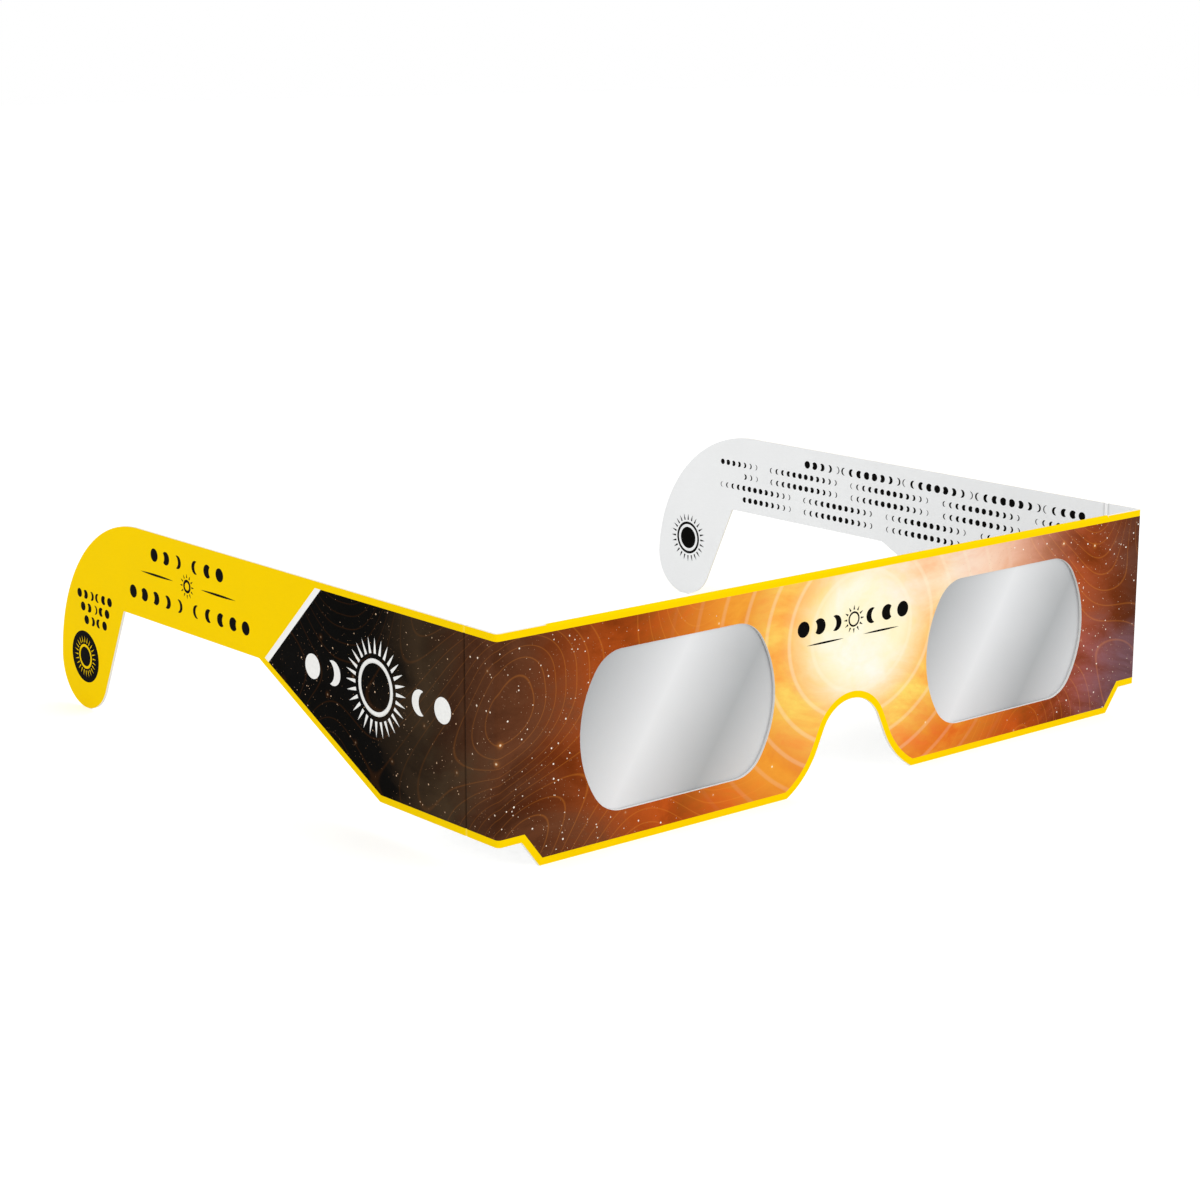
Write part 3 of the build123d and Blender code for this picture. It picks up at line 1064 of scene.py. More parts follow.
def silver_film(inks):
    """The mirror-coated face of the filter film, its colour in bands of painted reflection."""
    material, tree, shader = new_material("Silver film", Metallic=0.7, Specular_IOR_Level=0.5)
    place = add(tree, "ShaderNodeUVMap", uv_map="window").outputs[0]
    bands = placed_group(tree, film_bands("Film reflection bands", inks), {"Vector": place})
    fill(tree, shader, {"Base Color": bands["Color"],
                        "Roughness": bands["Shine"].eased(0.3, 0.7, 0.30, 0.42)})
    relief(tree, shader, noise(tree, place, 420.0, 3.0), 0.004 * MM, 0.5)
    return material


def black_film(inks):
    """The black polymer face of the filter film, on the wearer's side."""
    material, tree, shader = new_material("Black film", Specular_IOR_Level=0.5)
    place = cloudy(tree, shader, 70.0, 3.0, (inks.film_inner, inks.film_haze), (0.16, 0.28))
    relief(tree, shader, noise(tree, place, 300.0, 2.0), 0.005 * MM, 0.4)
    return material


def glue_material(inks):
    """Dried white glue between the two cards."""
    material, tree, shader = new_material("Dried glue", Specular_IOR_Level=0.4)
    cloudy(tree, shader, 250.0, 4.0, (inks.glue, inks.glue_thin), (0.45, 0.7))
    return material


def extruded(outline, half):
    """A closed flat prism of ink from an outline in X and Y, half its height each way."""
    shape = bmesh.new()
    face = shape.faces.new([shape.verts.new((p.x, p.y, -half)) for p in outline])
    raised = bmesh.ops.extrude_face_region(shape, geom=[face])["geom"]
    points = [g for g in raised if isinstance(g, bmesh.types.BMVert)]
    bmesh.ops.translate(shape, vec=(0, 0, 2 * half), verts=points)
    bmesh.ops.recalc_face_normals(shape, faces=shape.faces)
    return from_bmesh("prism", shape)


def disc(radius, ink):
    """A round layer of ink about the origin."""
    return extruded(arc(flat_point(0, 0), radius, 0, 2 * math.pi)[:-1], ink)


def spindle(length, width, ink):
    """A ruled line that swells in the middle and runs out to fine ends."""
    xs = [i / SPINDLE_STEPS * 2 - 1 for i in range(SPINDLE_STEPS + 1)]
    lower = [flat_point(x * length / 2, -width / 2 * (1 - x * x)) for x in xs]
    upper = [flat_point(p.x, -p.y) for p in reversed(lower[1:-1])]
    return extruded(lower + upper, ink)


def grown(tree, values, base=None):
    """The plain mesh that a Geometry Nodes tree makes with these input values."""
    maker = linked("maker", base or bpy.data.meshes.new("seed"))
    modifier = maker.modifiers.new("Maker", "NODES")
    modifier.node_group = tree
    sockets = {i.name: i.identifier for i in tree.interface.items_tree if i.in_out == "INPUT"}
    for label, value in values.items():
        modifier[sockets[label]] = value
    graph = bpy.context.evaluated_depsgraph_get()
    mesh = bpy.data.meshes.new_from_object(maker.evaluated_get(graph), depsgraph=graph)
    maker.modifiers.remove(modifier)
    bpy.data.objects.remove(maker)
    if not mesh.polygons:
        raise RuntimeError(f"the tree {tree.name} made nothing")
    mesh.materials.clear()
    mesh.materials.append(values["Material"])
    return mesh


def shape_tree(name, own):
    """A Geometry Nodes tree with inputs of its own, and an ink height and a material."""
    inputs = {**own, "Ink": 0.01 * MM, "Material": "NodeSocketMaterial"}
    return node_group(name, "GeometryNodeTree", inputs, {"Geometry": "NodeSocketGeometry"})


def finished_tree(tree, end, geometry, material):
    """End a Geometry Nodes tree: instances made real, doubles merged and the material set."""
    real = add(tree, "GeometryNodeRealizeInstances", {0: geometry})
    merged = add(tree, "GeometryNodeMergeByDistance", {"Geometry": real.outputs[0],
                                                       "Distance": WELD_GAP})
    painted = add(tree, "GeometryNodeSetMaterial", {"Geometry": merged.outputs[0],
                                                    "Material": material})
    fill(tree, end, {"Geometry": painted.outputs[0]})
    return tree


def stored(tree, geometry, numbers):
    """Geometry with named numbers kept on its points."""
    for name, value in numbers.items():
        geometry = add(tree, "GeometryNodeStoreNamedAttribute",
                       {"Geometry": geometry, "Name": name, "Value": value},
                       data_type="FLOAT", domain="POINT").outputs[0]
    return geometry


def named(tree, name):
    """A number kept on the points under a name."""
    made = add(tree, "GeometryNodeInputNamedAttribute", {"Name": name}, data_type="FLOAT")
    return Value(tree, made.outputs[0])


def without(tree, points, selection):
    """Points without the selected ones."""
    return add(tree, "GeometryNodeDeleteGeometry",
               {"Geometry": points, "Selection": selection}, domain="POINT").outputs[0]


def counted_points(tree, number):
    """A number of points, and the place of each in their order."""
    points = add(tree, "GeometryNodePoints", {"Count": number}).outputs[0]
    return points, Value(tree, add(tree, "GeometryNodeInputIndex").outputs[0])


def own_place(tree):
    """The three numbers of each point's own place."""
    return split(tree, add(tree, "GeometryNodeInputPosition").outputs[0])


def unit_bars(tree, points, columns, rows):
    """A copy of a one by two by one bar at every point, cut into columns and rows."""
    bar = add(tree, "GeometryNodeMeshCube",
              {"Size": (1.0, 2.0, 1.0), "Vertices X": columns, "Vertices Y": rows,
               "Vertices Z": 2})
    copies = add(tree, "GeometryNodeInstanceOnPoints", {"Points": points,
                                                        "Instance": bar.outputs[0]})
    return add(tree, "GeometryNodeRealizeInstances", {0: copies.outputs[0]}).outputs[0]


def moved_points(tree, geometry, x, y, z):
    """Geometry with its points set to places worked out from x, y and z."""
    place = add(tree, "ShaderNodeCombineXYZ", {0: x, 1: y, 2: z}).outputs[0]
    return add(tree, "GeometryNodeSetPosition",
               {"Geometry": geometry, "Position": place}).outputs[0]


def phase_rows_tree(name):
    """Tree: rows of suns bitten by a passing disc, from whole to thin and back."""
    tree, given, end = shape_tree(name, {
        "Rows": 1, "Columns": 6, "Period": 5.0, "Row shift": 0.0, "Radius": 1.0 * MM,
        "Pitch": 3.0 * MM, "Row pitch": 3.0 * MM, "Middle gap": 0.0, "Stagger": 0.0,
        "Thinnest": 0.3, "Least": 0.1, "Facets": 24,
    })
    columns, radius = given["Columns"], given["Radius"]
    points, index = counted_points(tree, given["Rows"] * columns)
    row = (index / columns).math("FLOOR")
    column = index - row * columns
    share = (column / given["Period"] + row * given["Row shift"]).math("FRACT")
    whole = (1.0 - share * 2.0).math("ABSOLUTE")
    steps = column - (columns - 1.0) / 2.0
    apart = steps * given["Pitch"] + steps.math("SIGN") * given["Middle gap"]
    odd = row.math("MODULO", 2.0) - 0.5
    points = stored(tree, points, {
        "sign": share.math("GREATER_THAN", 0.5) * 2.0 - 1.0,
        "shown": whole.mapped(0.0, 1.0, given["Thinnest"], 1.0),
        "along": apart + odd * given["Stagger"],
        "down": row * (given["Row pitch"] * -1.0),
    })
    sign, shown = named(tree, "sign"), named(tree, "shown")
    points = without(tree, points, shown.math("LESS_THAN", given["Least"]))
    bars = unit_bars(tree, points, 2, given["Facets"])
    bar_x, bar_y, bar_z = own_place(tree)
    y = radius * (bar_y * (math.pi / 2)).math("SINE")
    chord = (radius**2.0 - y**2.0).math("MAXIMUM", 0.0).math("SQRT")
    edge = (shown * (radius * 2.0) - chord).math("MINIMUM", chord)
    left = chord * -1.0
    x = left + (bar_x + 0.5) * (edge - left)
    bitten = moved_points(tree, bars, x * sign + named(tree, "along"),
                          y * sign + named(tree, "down"), bar_z * (given["Ink"] * 2.0))
    return finished_tree(tree, end, bitten, given["Material"])


def ray_ring_tree(name):
    """Tree: a thin ring with tapered rays round it."""
    tree, given, end = shape_tree(name, {
        "Rays": 16, "Ring radius": 2.0 * MM, "Ring width": 0.3 * MM, "Ring facets": 72,
        "Ray start": 3.0 * MM, "Ray length": 2.0 * MM, "Ray width": 0.6 * MM, "Taper": 1.5,
    })
    thick = given["Ink"] * 2.0
    circle = add(tree, "GeometryNodeCurvePrimitiveCircle",
                 {"Resolution": given["Ring facets"], "Radius": given["Ring radius"]})
    section = add(tree, "GeometryNodeCurvePrimitiveQuadrilateral",
                  {"Width": given["Ring width"], "Height": thick})
    ring = add(tree, "GeometryNodeCurveToMesh",
               {"Curve": circle.outputs[0], "Profile Curve": section.outputs[0]})
    points, index = counted_points(tree, given["Rays"])
    points = stored(tree, points, {"turn": index / given["Rays"] * (2 * math.pi)})
    bars = unit_bars(tree, points, RAY_COLUMNS, 2)
    bar_x, bar_y, bar_z = own_place(tree)
    share = bar_x + 0.5
    x = given["Ray start"] + share * given["Ray length"]
    y = bar_y * 0.5 * ((1.0 - share ** given["Taper"]) * given["Ray width"])
    turn = named(tree, "turn")
    cosine, sine = turn.math("COSINE"), turn.math("SINE")
    rays = moved_points(tree, bars, x * cosine - y * sine, x * sine + y * cosine, bar_z * thick)
    both = add(tree, "GeometryNodeJoinGeometry")
    for part in (rays, ring.outputs[0]):
        join(tree, part, both.inputs[0])
    return finished_tree(tree, end, both.outputs[0], given["Material"])


def speck_tree(name):
    """Tree: small round specks scattered over a printed face, mostly tiny and a few larger."""
    tree, given, end = shape_tree(name, {
        "Geometry": "NodeSocketGeometry", "Per square metre": 50000.0, "Smallest": 0.04 * MM,
        "Largest": 0.2 * MM, "Clear": 20.0 * MM, "Glint": 1.0, "Seed": 1,
    })
    scattered = add(tree, "GeometryNodeDistributePointsOnFaces",
                    {"Mesh": given["Geometry"], "Density": given["Per square metre"],
                     "Seed": given["Seed"]}, distribute_method="RANDOM")
    size_draw, place_draw = (
        Value(tree, add(tree, "FunctionNodeRandomValue", {"Seed": seed},
                        data_type="FLOAT").outputs[1])
        for seed in (given["Seed"], given["Seed"] + SEED_STEP)
    )
    away = own_place(tree)[0].math("ABSOLUTE")
    kept = away.eased(given["Clear"], given["Clear"] * CLEAR_SPREAD)
    dropped = place_draw.math("GREATER_THAN", kept)
    points = without(tree, scattered.outputs["Points"], dropped)
    points = stored(tree, points, {"glint": size_draw**FEW_BRIGHT * given["Glint"]})
    radius = (size_draw**FEW_LARGE).mapped(0.0, 1.0, given["Smallest"], given["Largest"])
    flake = add(tree, "GeometryNodeMeshCylinder",
                {"Vertices": FLAKE_SIDES, "Radius": 1.0, "Depth": 2.0})
    scale = add(tree, "ShaderNodeCombineXYZ", {0: radius, 1: radius, 2: given["Ink"]})
    copies = add(tree, "GeometryNodeInstanceOnPoints",
                 {"Points": points, "Instance": flake.outputs[0],
                  "Rotation": scattered.outputs["Rotation"], "Scale": scale.outputs[0]})
    return finished_tree(tree, end, copies.outputs[0], given["Material"])


def on_face(origin, normal):
    """Turns a figure drawn in X and Y on to an upright face of the glasses."""
    up = Vector((0, 0, 1))
    right = up.cross(Vector(normal))
    turned = Matrix((right, up, Vector(normal))).transposed().to_4x4()
    return Matrix.Translation(origin) @ turned


def on_outside(side, place, up=0.0, lift=0.0):
    """Turns a figure on to a temple's outer face, at a spot and then so far up or out."""
    x = SIDES[side] * (HALF_WIDTH + lift)
    return on_face((x, FRONT_Y + place[0], place[1] + up), (SIDES[side], 0, 0))


def on_inside(side, place):
    """Turns a figure on to a temple's inner face, at a spot."""
    x = SIDES[side] * (HALF_WIDTH - CARD)
    return on_face((x, FRONT_Y + place[0], place[1]), (-SIDES[side], 0, 0))


def painted(name, mesh, place, body):
    """Put a figure's mesh on its face and let it ride on a body of the glasses."""
    mesh.transform(place)
    piece = linked(name, mesh)
    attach(piece, body)


class Printer:
    """One ink, and the body of the glasses that it prints figures on"""

    def __init__(self, scene, body, label, colour, roughness):
        self.body, self.height = body, scene.glasses_marks.ink
        self.ink = shared(bpy.data.materials, label, ink_material, colour, roughness)

    def figure(self, name, tree, place, sizes):
        """Print what a tree grows. A size's name is its socket's, in small letters."""
        values = {label.replace("_", " ").capitalize(): value for label, value in sizes.items()}
        values.update({"Ink": self.height, "Material": self.ink})
        painted(name, grown(tree, values), place, self.body)

    def phases(self, name, place, **sizes):
        """Print rows of bitten suns."""
        tree = shared(bpy.data.node_groups, "Phase rows", phase_rows_tree)
        self.figure(name, tree, place, sizes)

    def rays(self, name, place, **sizes):
        """Print a ring with rays."""
        tree = shared(bpy.data.node_groups, "Ray ring", ray_ring_tree)
        self.figure(name, tree, place, sizes)

    def disc(self, name, place, radius):
        """Print a plain disc."""
        mesh = disc(radius, self.height)
        mesh.materials.append(self.ink)
        painted(name, mesh, place, self.body)

    def rules(self, name, place, length, width, aside, up=0.0):
        """Print two ruled lines as one figure, one on either side of its middle."""
        shape = bmesh.new()
        for way in SIDES.values():
            rule = spindle(length, width, self.height)
            rule.transform(Matrix.Translation((way * aside, up, 0)))
            shape.from_mesh(rule)
        mesh = from_bmesh(name, shape)
        mesh.materials.append(self.ink)
        painted(name, mesh, place, self.body)


def black_printer(scene, body):
    """Prints figures in black on a body."""
    return Printer(scene, body, "Black ink", scene.glasses_colours.ink, BLACK_INK_ROUGHNESS)


def bright_printer(scene, body, label, colour):
    """Prints figures in white or yellow on a body."""
    return Printer(scene, body, label, colour, BRIGHT_INK_ROUGHNESS)


class GLASSES_OT_card(bpy.types.Operator):
    """Lay out the die-cut blank, print it and fold it into the front, back and temples"""

    bl_idname = "glasses.card"
    bl_label = "Fold the Card"

    def execute(self, context):
        scene = context.scene
        blank = Blank(scene.glasses_card, scene.glasses_windows, scene.glasses_marks)
        paints = self.paints(scene)
        self.middle(blank, paints)
        for name, side in SIDES.items():
            self.strips(blank, paints, name, side)
            self.bends(blank, paints, name, side)
        return {"FINISHED"}

    def middle(self, blank, paints):
        """The front, the top fold and the back, which don't move."""
        for name, stretch, node, slot in (
            ("front_card", "front", "front_panel", "printed_card"),
            ("top_fold_card", "fold", "top_fold", "printed_card"),
            ("back_card", "back", "back_panel", "plain_card"),
        ):
            piece = blank.piece(name, stretch, paints)
            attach(piece, "front")
            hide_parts(node)

    def strips(self, blank, paints, name, side):
        """The corner strip and the temple of one side."""
        for stretch, node in (("corner", "corner_strip"), ("temple", "temple")):
            piece = blank.piece(f"{name}_{stretch}_card", stretch, paints, side)
            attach(piece, f"{name}_{stretch}")
            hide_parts(f"{name}_{node}")

    def bends(self, blank, paints, name, side):
        """The two bends of one side, which follow the card on both sides of them."""
        card = blank.card
        x = side * (HALF_WIDTH - CARD)
        bend = blank.piece(f"{name}_front_bend", "front_bend", paints, side)
        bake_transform(bend, "front", f"{name}_corner",
                 start=(side * (HALF_WIDTH - card.bend), FRONT_Y + CARD, HEIGHT / 2),
                 end=(x, FRONT_Y + card.bend, HEIGHT / 2))
        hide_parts(f"{name}_front_crease")
        crease = blank.piece(f"{name}_temple_bend", "temple_bend", paints, side)
        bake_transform(crease, f"{name}_corner", f"{name}_temple",
                 start=(x, TEMPLE_AXIS.y - card.crease_reach, HEIGHT / 2),
                 end=(x, TEMPLE_AXIS.y + card.crease_reach, HEIGHT / 2))
        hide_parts(f"{name}_temple_crease")

    def paints(self, scene):
        """The material of each coat of the card."""
        inks = scene.glasses_colours
        picture = halo_print("Halo print", scene.glasses_marks, inks)
        return {
            "picture": card_print("Printed picture", inks, picture, inks.picture_crease_shade),
            "yellow": card_print("Yellow print", inks, inks.yellow, inks.yellow_on_crease),
            "stripe": card_print("Stripe print", inks, inks.stripe, WHITE),
            "inside": bare_card("Inside of the card", inks, inks.inside, PRINT_GRAIN, 0.5, 0.65),
            "core": bare_card("Cut edge", inks, inks.core, CUT_GRAIN, 0.8, 0.95),
            # Painted shade on the cut edges inside the windows.
            "rim": bare_card("Window edge", inks, inks.rim, CUT_GRAIN, 0.8, 0.95),
        }


class GLASSES_OT_films(bpy.types.Operator):
    """Stretch the silver and black filter film behind both windows, and show the glue"""

    bl_idname = "glasses.films"
    bl_label = "Fit the Films"

    def execute(self, context):
        scene = context.scene
        inks = scene.glasses_colours
        for ply, low, high, material, slot in (
            ("mirror_ply", FILM_LOW.y, FILM_HIGH.y, silver_film(inks), "mirror_film"),
            ("black_ply", BLACK_LOW.y, BLACK_HIGH.y, black_film(inks), "black_film"),
        ):
            for i, side in enumerate(SIDES):
                piece = self.film(f"{side}_{ply}_film", scene.glasses_windows, i, low, high)
                piece.data.materials.append(material)
                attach(piece, "front")
                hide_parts(f"{side}_{ply}")
        glue = frame["nodes"]["glue_layer"]
        glue.data.materials.clear()
        glue.data.materials.append(glue_material(inks))
        return {"FINISHED"}

    def film(self, name, window, which, low, high):
        """One ply of film, closed all round, with a little slack inside its window."""
        middle = window_places(window)[which]
        half = Vector((FILM_HIGH.x - FILM_LOW.x, FILM_HIGH.z - FILM_LOW.z)) / 2
        wide = window.columns + 1
        shape = bmesh.new()
        layers = []
        for y in (low, high):
            layer = []
            for row in range(window.rows + 1):
                for column in range(wide):
                    x = half.x * (2 * column / window.columns - 1)
                    z = half.y * (2 * row / window.rows - 1)
                    slack = self.slack(window, which, x, z)
                    layer.append(shape.verts.new((middle.x + x, y + slack, middle.y + z)))
            layers.append(layer)
        for row in range(window.rows):
            for column in range(window.columns):
                a = row * wide + column
                ring = (a, a + 1, a + wide + 1, a + wide)
                shape.faces.new([layers[0][k] for k in ring])
                shape.faces.new([layers[1][k] for k in reversed(ring)])
        bmesh.ops.bridge_loops(shape, edges=[e for e in shape.edges if e.is_boundary])
        bmesh.ops.recalc_face_normals(shape, faces=shape.faces)
        mesh = from_bmesh(name, shape)
        layer = mesh.uv_layers.new(name="window")
        for loop in mesh.loops:
            here = mesh.vertices[loop.vertex_index].co
            layer.data[loop.index].uv = (here.x - middle.x, here.z - middle.y)
        mesh.shade_smooth()
        mesh.set_sharp_from_angle(angle=FILM_SHARP)
        return linked(name, mesh)

    def slack(self, window, which, x, z):
        """How far a film stands in or out at a place in its window."""
        free = window_half(window)
        hold = max(0, 1 - (x / free.x) ** FILM_HOLD) * max(0, 1 - (z / free.y) ** FILM_HOLD)
        wave = sum(math.sin(across * x + up * z + shift)
                   for (across, up), shift in zip(FILM_WAVES, (which, len(FILM_WAVES))))
        return window.ripple * hold * wave / len(FILM_WAVES)


class GLASSES_OT_specks(bpy.types.Operator):
    """Scatter small printed sparks over the picture"""

    bl_idname = "glasses.specks"
    bl_label = "Scatter the Specks"

    def execute(self, context):
        scene = context.scene
        marks = scene.glasses_marks
        material = speck_material(scene.glasses_colours)
        tree = shared(bpy.data.node_groups, "Specks", speck_tree)
        places = [("front_card", "front", 1.0)]
        for side in SIDES:
            places += [(f"{side}_corner_card", f"{side}_corner", marks.corner_share),
                       (f"{side}_temple_card", f"{side}_temple", marks.temple_share)]
        for i, (source, body, share) in enumerate(places):
            mesh = grown(tree, {
                "Per square metre": share * marks.specks / MM**2, "Glint": share,
                "Smallest": marks.speck_least, "Largest": marks.speck_most,
                "Clear": marks.speck_clear, "Seed": marks.seed + i, "Ink": marks.ink,
                "Material": material,
            }, self.picture_faces(bpy.data.objects[source]))
            piece = linked(f"{source}_specks", mesh)
            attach(piece, body)
        return {"FINISHED"}

    def picture_faces(self, piece):
        """The faces of a stretch of card that carry the picture, clear of the cut edges."""
        wanted = piece.data.materials.find("Printed picture")
        shape = bmesh.new()
        shape.from_mesh(piece.data)
        wear = shape.verts.layers.float["wear"]
        other = [f for f in shape.faces
                 if f.material_index != wanted or any(v[wear] for v in f.verts)]
        bmesh.ops.delete(shape, geom=other, context="FACES")
        return from_bmesh(f"{piece.name}_picture", shape)


class GLASSES_OT_front_figures(bpy.types.Operator):
    """Print the row of eclipse phases between the windows"""

    bl_idname = "glasses.front_figures"
    bl_label = "Print the Front's Figures"

    def execute(self, context):
        scene = context.scene
        place = on_face((0, FRONT_Y, scene.glasses_marks.front_spot), (0, -1, 0))
        black = black_printer(scene, "front")
        black.phases("front_phases", place, columns=6, period=5.0, radius=1.35 * MM,
                     pitch=3.7 * MM, middle_gap=2.45 * MM, thinnest=0.3)
        black.rays("front_ring", place, rays=12, ring_radius=1.15 * MM, ring_width=0.32 * MM,
                   ray_start=1.6 * MM, ray_length=0.8 * MM, ray_width=0.34 * MM)
        black.rules("front_rules", place, length=8.6 * MM, width=0.34 * MM, aside=6.6 * MM,
                    up=-2.9 * MM)
        return {"FINISHED"}


class GLASSES_OT_temple_figures(bpy.types.Operator):
    """Print the figures on both faces of the temples"""

    bl_idname = "glasses.temple_figures"
    bl_label = "Print the Temples' Figures"

    def execute(self, context):
        scene = context.scene
        for side in SIDES:
            body = f"{side}_temple"
            black = black_printer(scene, body)
            self.arm(side, scene.glasses_marks, black)
            self.hook(side, scene, black)
            self.panel(side, scene, body)
            self.inside(side, scene.glasses_marks, black)
        return {"FINISHED"}

    def arm(self, side, marks, black):
        """Two rows of suns on the yellow arm, with a sun and two ruled lines between them."""
        for label, up, columns in (("upper", 3.8 * MM, 6), ("lower", -4.0 * MM, 10)):
            black.phases(f"{side}_{label}_phases", on_outside(side, marks.arm_spot, up),
                         columns=columns, period=columns - 1.0, radius=1.2 * MM,
                         pitch=3.9 * MM, middle_gap=1.0 * MM, thinnest=0.25)
        black.rays(f"{side}_middle_sun", on_outside(side, marks.arm_spot), rays=12,
                   ring_radius=0.95 * MM, ring_width=0.5 * MM, ray_start=1.5 * MM,
                   ray_length=0.75 * MM, ray_width=0.32 * MM)
        black.rules(f"{side}_rules", on_outside(side, marks.arm_spot), length=11.2 * MM,
                    width=0.42 * MM, aside=10.1 * MM, up=0.2 * MM)

    def hook(self, side, scene, black):
        """Three short rows on the ear hook, over a black disc with a yellow sun on it."""
        marks = scene.glasses_marks
        for label, up, columns in (("upper", 2.4 * MM, 6), ("middle", 0.0, 5),
                                   ("lower", -2.4 * MM, 4)):
            black.phases(f"{side}_hook_{label}_phases", on_outside(side, marks.hook_spot, up),
                         columns=columns, period=columns - 1.0, radius=0.85 * MM,
                         pitch=2.2 * MM, thinnest=0.3, facets=15)
        black.disc(f"{side}_moon", on_outside(side, marks.disc_spot), 4.9 * MM)
        yellow = bright_printer(scene, black.body, "Yellow ink", scene.glasses_colours.yellow)
        yellow.rays(f"{side}_corona", on_outside(side, marks.disc_spot, lift=2 * marks.ink),
                    rays=24, ring_radius=2.1 * MM, ring_width=0.5 * MM, ray_start=2.7 * MM,
                    ray_length=1.2 * MM, ray_width=0.22 * MM)

    def panel(self, side, scene, body):
        """A large white sun on the dark panel, with suns and crescents on both sides of it."""
        marks = scene.glasses_marks
        white = bright_printer(scene, body, "White ink", scene.glasses_colours.stripe)
        place = on_outside(side, marks.panel_spot, lift=marks.ink)
        white.rays(f"{side}_panel_sun", place, rays=28, ring_radius=4.3 * MM,
                   ring_width=0.75 * MM, ray_start=5.5 * MM, ray_length=2.6 * MM,
                   ray_width=0.6 * MM)
        white.phases(f"{side}_panel_phases", place, columns=4, period=3.0, radius=2.1 * MM,
                     pitch=5.8 * MM, middle_gap=8.9 * MM, thinnest=0.12)

    def inside(self, side, marks, black):
        """Rows of small suns inside the temple, under a larger one, and a sun on the hook."""
        black.phases(f"{side}_inner_phases", on_inside(side, marks.lines_spot), rows=4,
                     columns=58, period=14.5, row_shift=0.29, radius=0.6 * MM, pitch=1.7 * MM,
                     row_pitch=2.5 * MM, stagger=7.0 * MM, thinnest=0.0, least=0.14, facets=9)
        black.phases(f"{side}_inner_heading", on_inside(side, marks.heading_spot), columns=35,
                     period=8.5, radius=0.8 * MM, pitch=2.15 * MM, thinnest=0.1, facets=11)
        place = on_inside(side, marks.inner_spot)
        black.rays(f"{side}_inner_sun", place, rays=24, ring_radius=3.3 * MM,
                   ring_width=0.55 * MM, ray_start=4.0 * MM, ray_length=1.4 * MM,
                   ray_width=0.4 * MM)
        black.disc(f"{side}_inner_moon", place, 2.4 * MM)


def seen_directly(tree):
    """1 for what the camera, a mirror or clear glass sees, and 0 for the light that falls."""
    path = add(tree, "ShaderNodeLightPath").outputs
    either = Value(tree, path["Is Camera Ray"]).math("MAXIMUM", path["Is Glossy Ray"])
    return either.math("MAXIMUM", path["Is Transmission Ray"])


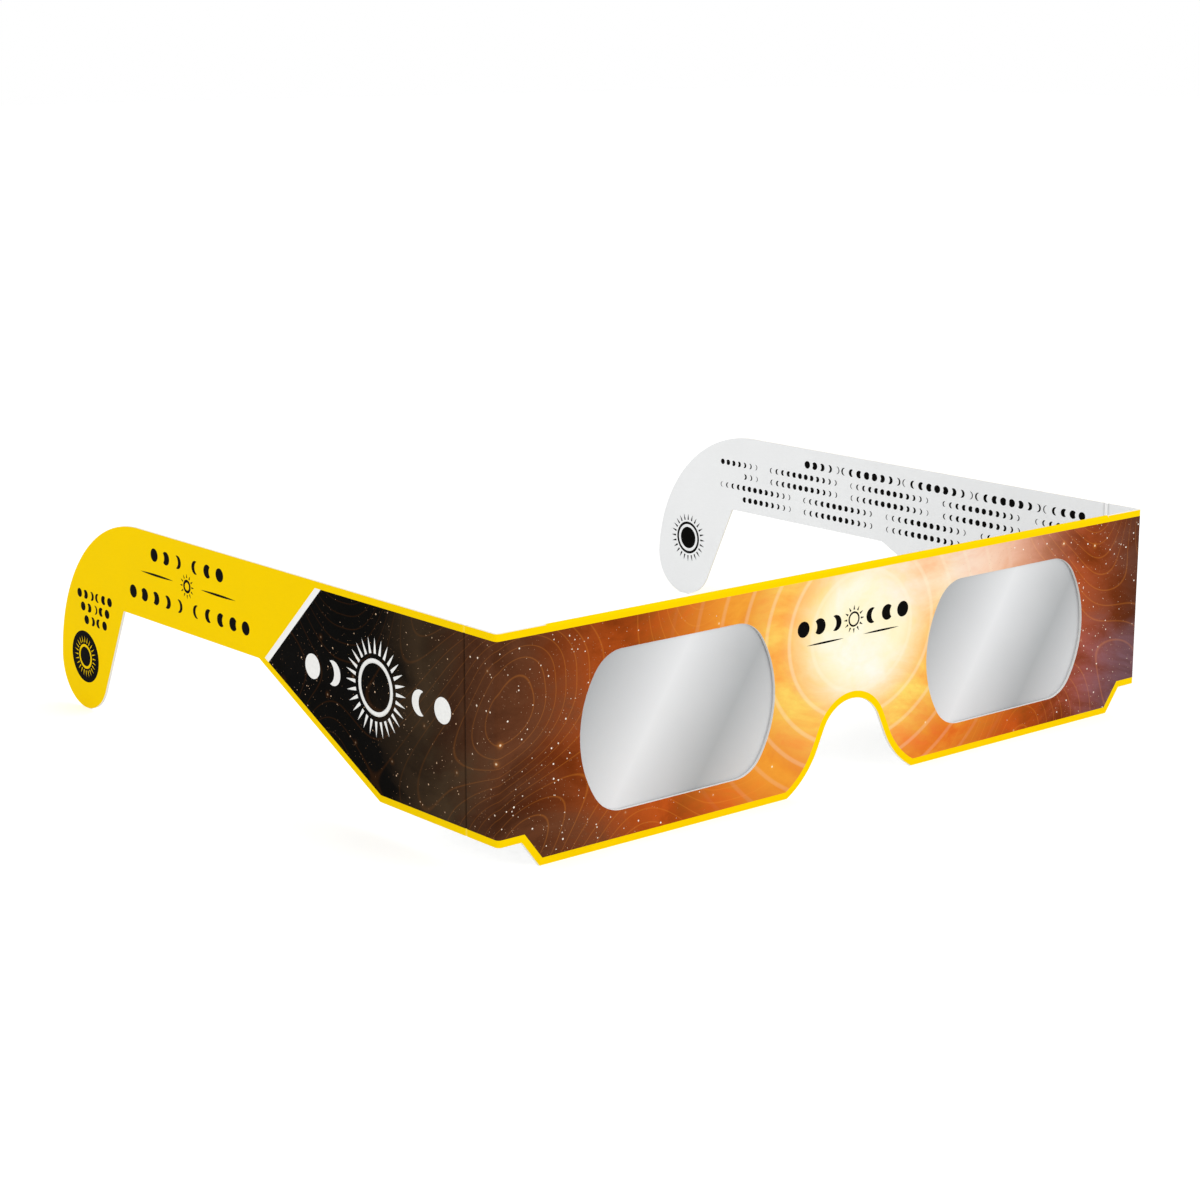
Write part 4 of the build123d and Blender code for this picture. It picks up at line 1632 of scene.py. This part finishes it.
class GLASSES_OT_stage(bpy.types.Operator):
    """Set the camera, the soft light and the pale floor"""

    bl_idname = "glasses.stage"
    bl_label = "Set the Stage"

    def execute(self, context):
        scene = context.scene
        stage = scene.glasses_stage
        scene.view_settings.view_transform = "Standard"
        self.camera(scene, stage)
        self.world(scene, stage)
        self.lamp("key_lamp", stage.key, stage.key_place, stage.key_width)
        self.lamp("fill_lamp", stage.fill, stage.fill_place, stage.fill_width)
        self.floor(stage)
        return {"FINISHED"}

    def aimed(self, name, data, place, heading):
        """A camera or lamp at a place, looking along a heading."""
        made = linked(name, data)
        made.location = place
        made.rotation_mode = "QUATERNION"
        made.rotation_quaternion = heading.to_track_quat("-Z", "Y")
        return made

    def camera(self, scene, stage):
        """The camera at the photographed angle."""
        data = bpy.data.cameras.new("camera")
        data.lens, data.sensor_width = stage.lens, stage.sensor
        a, e = stage.azimuth, stage.elevation
        back = Vector((math.sin(a) * math.cos(e), -math.cos(a) * math.cos(e), math.sin(e)))
        scene.camera = self.aimed("camera", data, stage.camera_place, -back)

    def world(self, scene, stage):
        """Even light from all round, and plain white where the camera looks past the floor."""
        world = bpy.data.worlds.new("studio")
        scene.world = world
        world.use_nodes = True
        tree = world.node_tree
        light = tree.nodes["Background"]
        fill(tree, light, {"Color": WHITE, "Strength": stage.sky})
        white = add(tree, "ShaderNodeBackground", {"Color": WHITE, "Strength": 1.0})
        mix = add(tree, "ShaderNodeMixShader", {0: seen_directly(tree), 1: light.outputs[0],
                                                2: white.outputs[0]})
        fill(tree, tree.nodes["World Output"], {"Surface": mix.outputs[0]})

    def lamp(self, name, power, place, width):
        """One large square lamp that looks at the glasses."""
        data = bpy.data.lights.new(name, "AREA")
        data.energy, data.size = power, width
        self.aimed(name, data, place, -Vector(place))

    def floor(self, stage):
        """A pale floor that keeps the shadow and is lifted to white for the camera."""
        corners = [(x * FLOOR_HALF, y * FLOOR_HALF, 0)
                   for x, y in ((-1, -1), (1, -1), (1, 1), (-1, 1))]
        mesh = bpy.data.meshes.new("floor")
        mesh.from_pydata(corners, [], [(0, 1, 2, 3)])
        material, tree, shader = new_material("Pale floor", Roughness=0.9,
                                              Specular_IOR_Level=0.1)
        place = add(tree, "ShaderNodeTexCoord").outputs["Object"]
        mottled = blended(tree, noise(tree, place, 3.0, 2.0), stage.floor, WHITE)
        fill(tree, shader, {"Base Color": blended(tree, 0.9, mottled, stage.floor)})
        lift = seen_directly(tree) * stage.floor_lift
        glow = add(tree, "ShaderNodeEmission", {"Color": WHITE, "Strength": lift})
        both = add(tree, "ShaderNodeAddShader", {0: shader.outputs[0], 1: glow.outputs[0]})
        fill(tree, tree.nodes["Material Output"], {"Surface": both.outputs[0]})
        mesh.materials.append(material)
        linked("floor", mesh)


class GLASSES_PT_sidebar(bpy.types.Panel):
    """Sizes, colours and steps of the eclipse glasses"""

    bl_idname = "GLASSES_PT_sidebar"
    bl_label = "Eclipse Glasses"
    bl_space_type = "VIEW_3D"
    bl_region_type = "UI"
    bl_category = "Eclipse Glasses"

    def draw(self, context):
        for group in GROUPS:
            box = self.layout.box()
            for prop in getattr(context.scene, group).bl_rna.properties:
                if prop.identifier not in ("rna_type", "name"):
                    box.prop(getattr(context.scene, group), prop.identifier)
        for operator in OPERATORS:
            self.layout.operator(operator.bl_idname)


GROUPS = {
    "glasses_card": CardSizes,
    "glasses_windows": WindowSizes,
    "glasses_marks": PrintSizes,
    "glasses_colours": PrintColours,
    "glasses_stage": StageSettings,
}
OPERATORS = (
    GLASSES_OT_stage, GLASSES_OT_card, GLASSES_OT_films, GLASSES_OT_specks,
    GLASSES_OT_front_figures, GLASSES_OT_temple_figures,
)
CLASSES = (*GROUPS.values(), *OPERATORS, GLASSES_PT_sidebar)


def register():
    """Add the classes to Blender, and the settings to its scenes."""
    for cls in CLASSES:
        bpy.utils.register_class(cls)
    for name, cls in GROUPS.items():
        setattr(bpy.types.Scene, name, bpy.props.PointerProperty(type=cls))


def unregister():
    """Take the settings and the classes out again."""
    for name in GROUPS:
        delattr(bpy.types.Scene, name)
    for cls in reversed(CLASSES):
        bpy.utils.unregister_class(cls)


def main():
    """Make the whole scene."""
    register()
    for step in ("stage", "card", "films", "specks", "front_figures", "temple_figures"):
        getattr(bpy.ops.glasses, step)()


if __name__ == "__main__":
    main()
